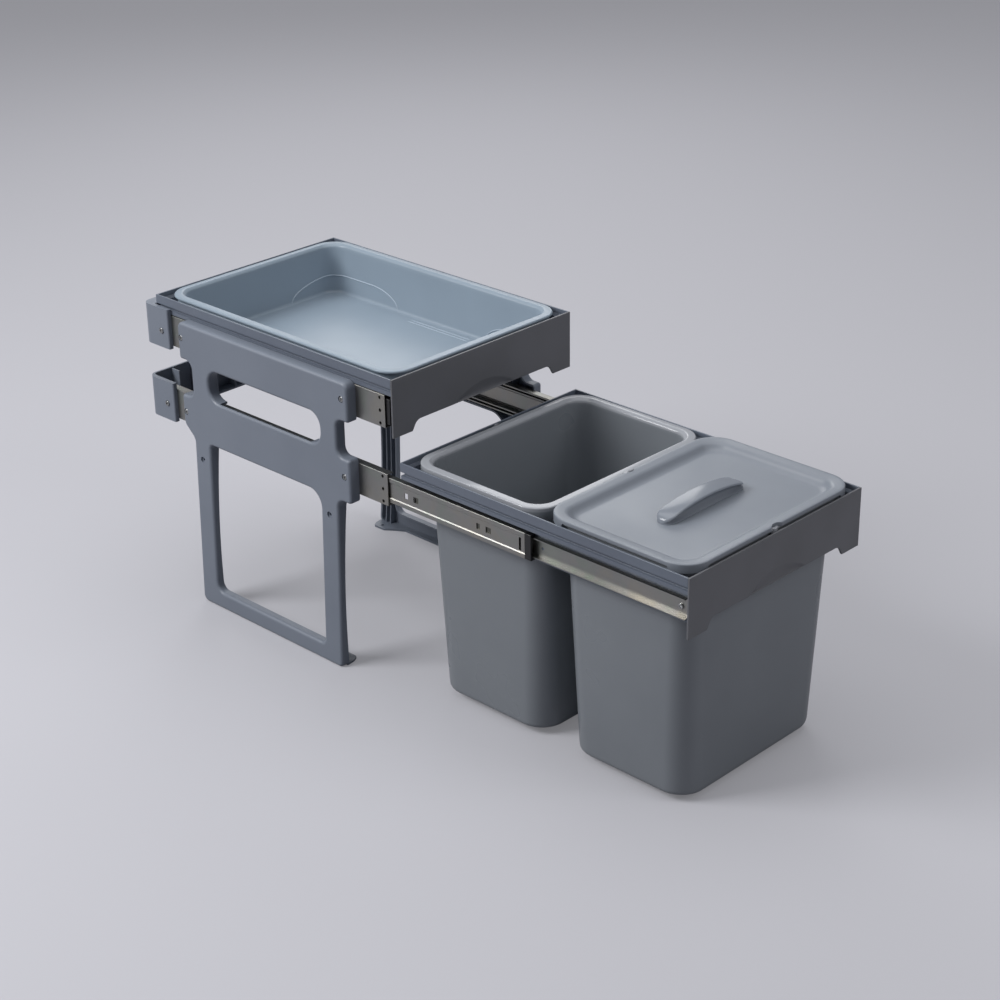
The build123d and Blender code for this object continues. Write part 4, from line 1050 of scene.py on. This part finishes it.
@dataclass
class Studio:
    """Camera, floor and soft lamps."""

    camera_place: Place = (-1.87677, -1.85310 - FEET_MIDDLE, 1.46792)
    yaw_deg: float = -45.744
    pitch_deg: float = 25.298
    roll_deg: float = -0.826
    lens_mm: float = 78.43
    sensor_mm: float = 36.0
    # The camera and reflections see the floor pale, and the light that it throws back is that of
    # a darker one. A little glow, for the camera only, keeps the far floor pale.
    floor_reach: float = 30.0
    floor_roughness: float = 0.8
    floor_bounce: str = "7E7E84"
    floor_seen: str = "A6A6AC"
    glow: str = "F4F4FA"
    glow_strength: float = 0.16
    room: str = "C8C9D0"
    room_strength: float = 0.36
    lamp_target: Place = (0.0, -0.2, 0.2)
    lamps: tuple[Lamp, ...] = (
        Lamp("key_from_left_and_above", (-2.35, 1.2, 2.4), 1.5, 88.0),
        Lamp("overhead", (0.2, 0.0, 3.2), 3.0, 40.0),
        Lamp("low_behind_right", (1.9, 1.8, 1.9), 1.4, 14.0),
        Lamp("front_fill", (0.9, -2.9, 2.1), 1.4, 16.0),
    )

    def set_camera(self) -> None:
        """Place the camera at the photograph's viewpoint and make it the scene's."""
        data = bpy.data.cameras.new("view")
        data.lens, data.sensor_width = self.lens_mm, self.sensor_mm
        camera = bpy.data.objects.new("view", data)
        bpy.context.scene.collection.objects.link(camera)
        turn = (Matrix.Rotation(math.radians(self.yaw_deg), 4, "Z")
                @ Matrix.Rotation(math.radians(90 - self.pitch_deg), 4, "X")
                @ Matrix.Rotation(math.radians(self.roll_deg), 4, "Z"))
        camera.matrix_world = Matrix.Translation(self.camera_place) @ turn
        bpy.context.scene.camera = camera

    def lay_floor(self) -> None:
        """Lay a plain pale floor that runs far past the object."""
        reach = self.floor_reach
        mesh = bpy.data.meshes.new("floor")
        mesh.from_pydata(
            [(-reach, -reach, 0), (reach, -reach, 0), (reach, reach, 0), (-reach, reach, 0)],
            [], [(0, 1, 2, 3)])
        plane = bpy.data.objects.new("floor", mesh)
        bpy.context.scene.collection.objects.link(plane)
        material = bpy.data.materials.new("pale_paper_floor")
        material.use_nodes = True
        tree = material.node_tree
        path = add_node(tree, "LightPath")
        seen = path.outputs["Is Camera Ray"]
        for ray in ("Is Glossy Ray", "Is Transmission Ray"):
            seen = add_node(tree, "Math", {0: seen, 1: path.outputs[ray]},
                            operation="MAXIMUM").outputs[0]
        shade = add_node(tree, "Mix", {
            0: seen, 6: srgb(self.floor_bounce), 7: srgb(self.floor_seen)}, data_type="RGBA")
        glow = add_node(tree, "Math", {
            0: path.outputs["Is Camera Ray"], 1: self.glow_strength}, operation="MULTIPLY")
        wire(tree.nodes["Principled BSDF"], {
            "Roughness": self.floor_roughness, "Base Color": shade.outputs[2],
            "Emission Color": srgb(self.glow), "Emission Strength": glow.outputs[0]})
        mesh.materials.append(material)

    def hang(self, lamp: Lamp) -> None:
        """Hang a lamp that faces the target point.

        Args:
            lamp: what to hang, and where.
        """
        data = bpy.data.lights.new(lamp.name, "AREA")
        data.energy, data.size = lamp.watts, lamp.size
        light = bpy.data.objects.new(lamp.name, data)
        bpy.context.scene.collection.objects.link(light)
        aim = (Vector(self.lamp_target) - Vector(lamp.place)).to_track_quat("-Z", "Y")
        light.matrix_world = Matrix.Translation(lamp.place) @ aim.to_matrix().to_4x4()

    def fill_room(self) -> None:
        """Fill the room with plain pale light."""
        world = bpy.data.worlds.new("studio")
        world.use_nodes = True
        wire(world.node_tree.nodes["Background"], {
            "Color": srgb(self.room), "Strength": self.room_strength})
        bpy.context.scene.world = world

    def build(self) -> None:
        """Set up everything that isn't the object."""
        self.set_camera()
        self.lay_floor()
        self.fill_room()
        for lamp in self.lamps:
            self.hang(lamp)
        bpy.context.scene.view_settings.view_transform = "Standard"


def dress_nodes(palette: Palette) -> None:
    """Dress every CAD node by the first word of NODE_FINISHES that its name holds.

    Args:
        palette: the finishes.
    """
    for name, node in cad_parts.items():
        finish = next(finish for word, finish in NODE_FINISHES.items() if word in name)
        if not node.material_slots:
            node.data.materials.append(None)
        for entry in node.material_slots:
            entry.material = palette.get(finish)
        LOG.info("dressed %s in %s", name, finish)


def main() -> None:
    """Build the dressed model."""
    logging.basicConfig(level=logging.INFO, format="%(message)s")
    palette = Palette()
    Studio().build()
    dress_nodes(palette)
    tray = Container("tray", "tray_plastic", draft=5.0 * MM, floor_round=7.0 * MM,
                     floor_radius=24.0 * MM, undercut=4.0 * MM)
    parts = (
        Container("front_bin", "bin_plastic", undercut=4.0 * MM),
        Container("rear_bin", "bin_plastic"),
        tray,
        TrayRelief(tray),
        Lid(),
        FrontPanel("upper"),
        FrontPanel("lower"),
    )
    for part in parts:
        LOG.info("built %s", part.build(palette).name)


if __name__ == "__main__":
    main()
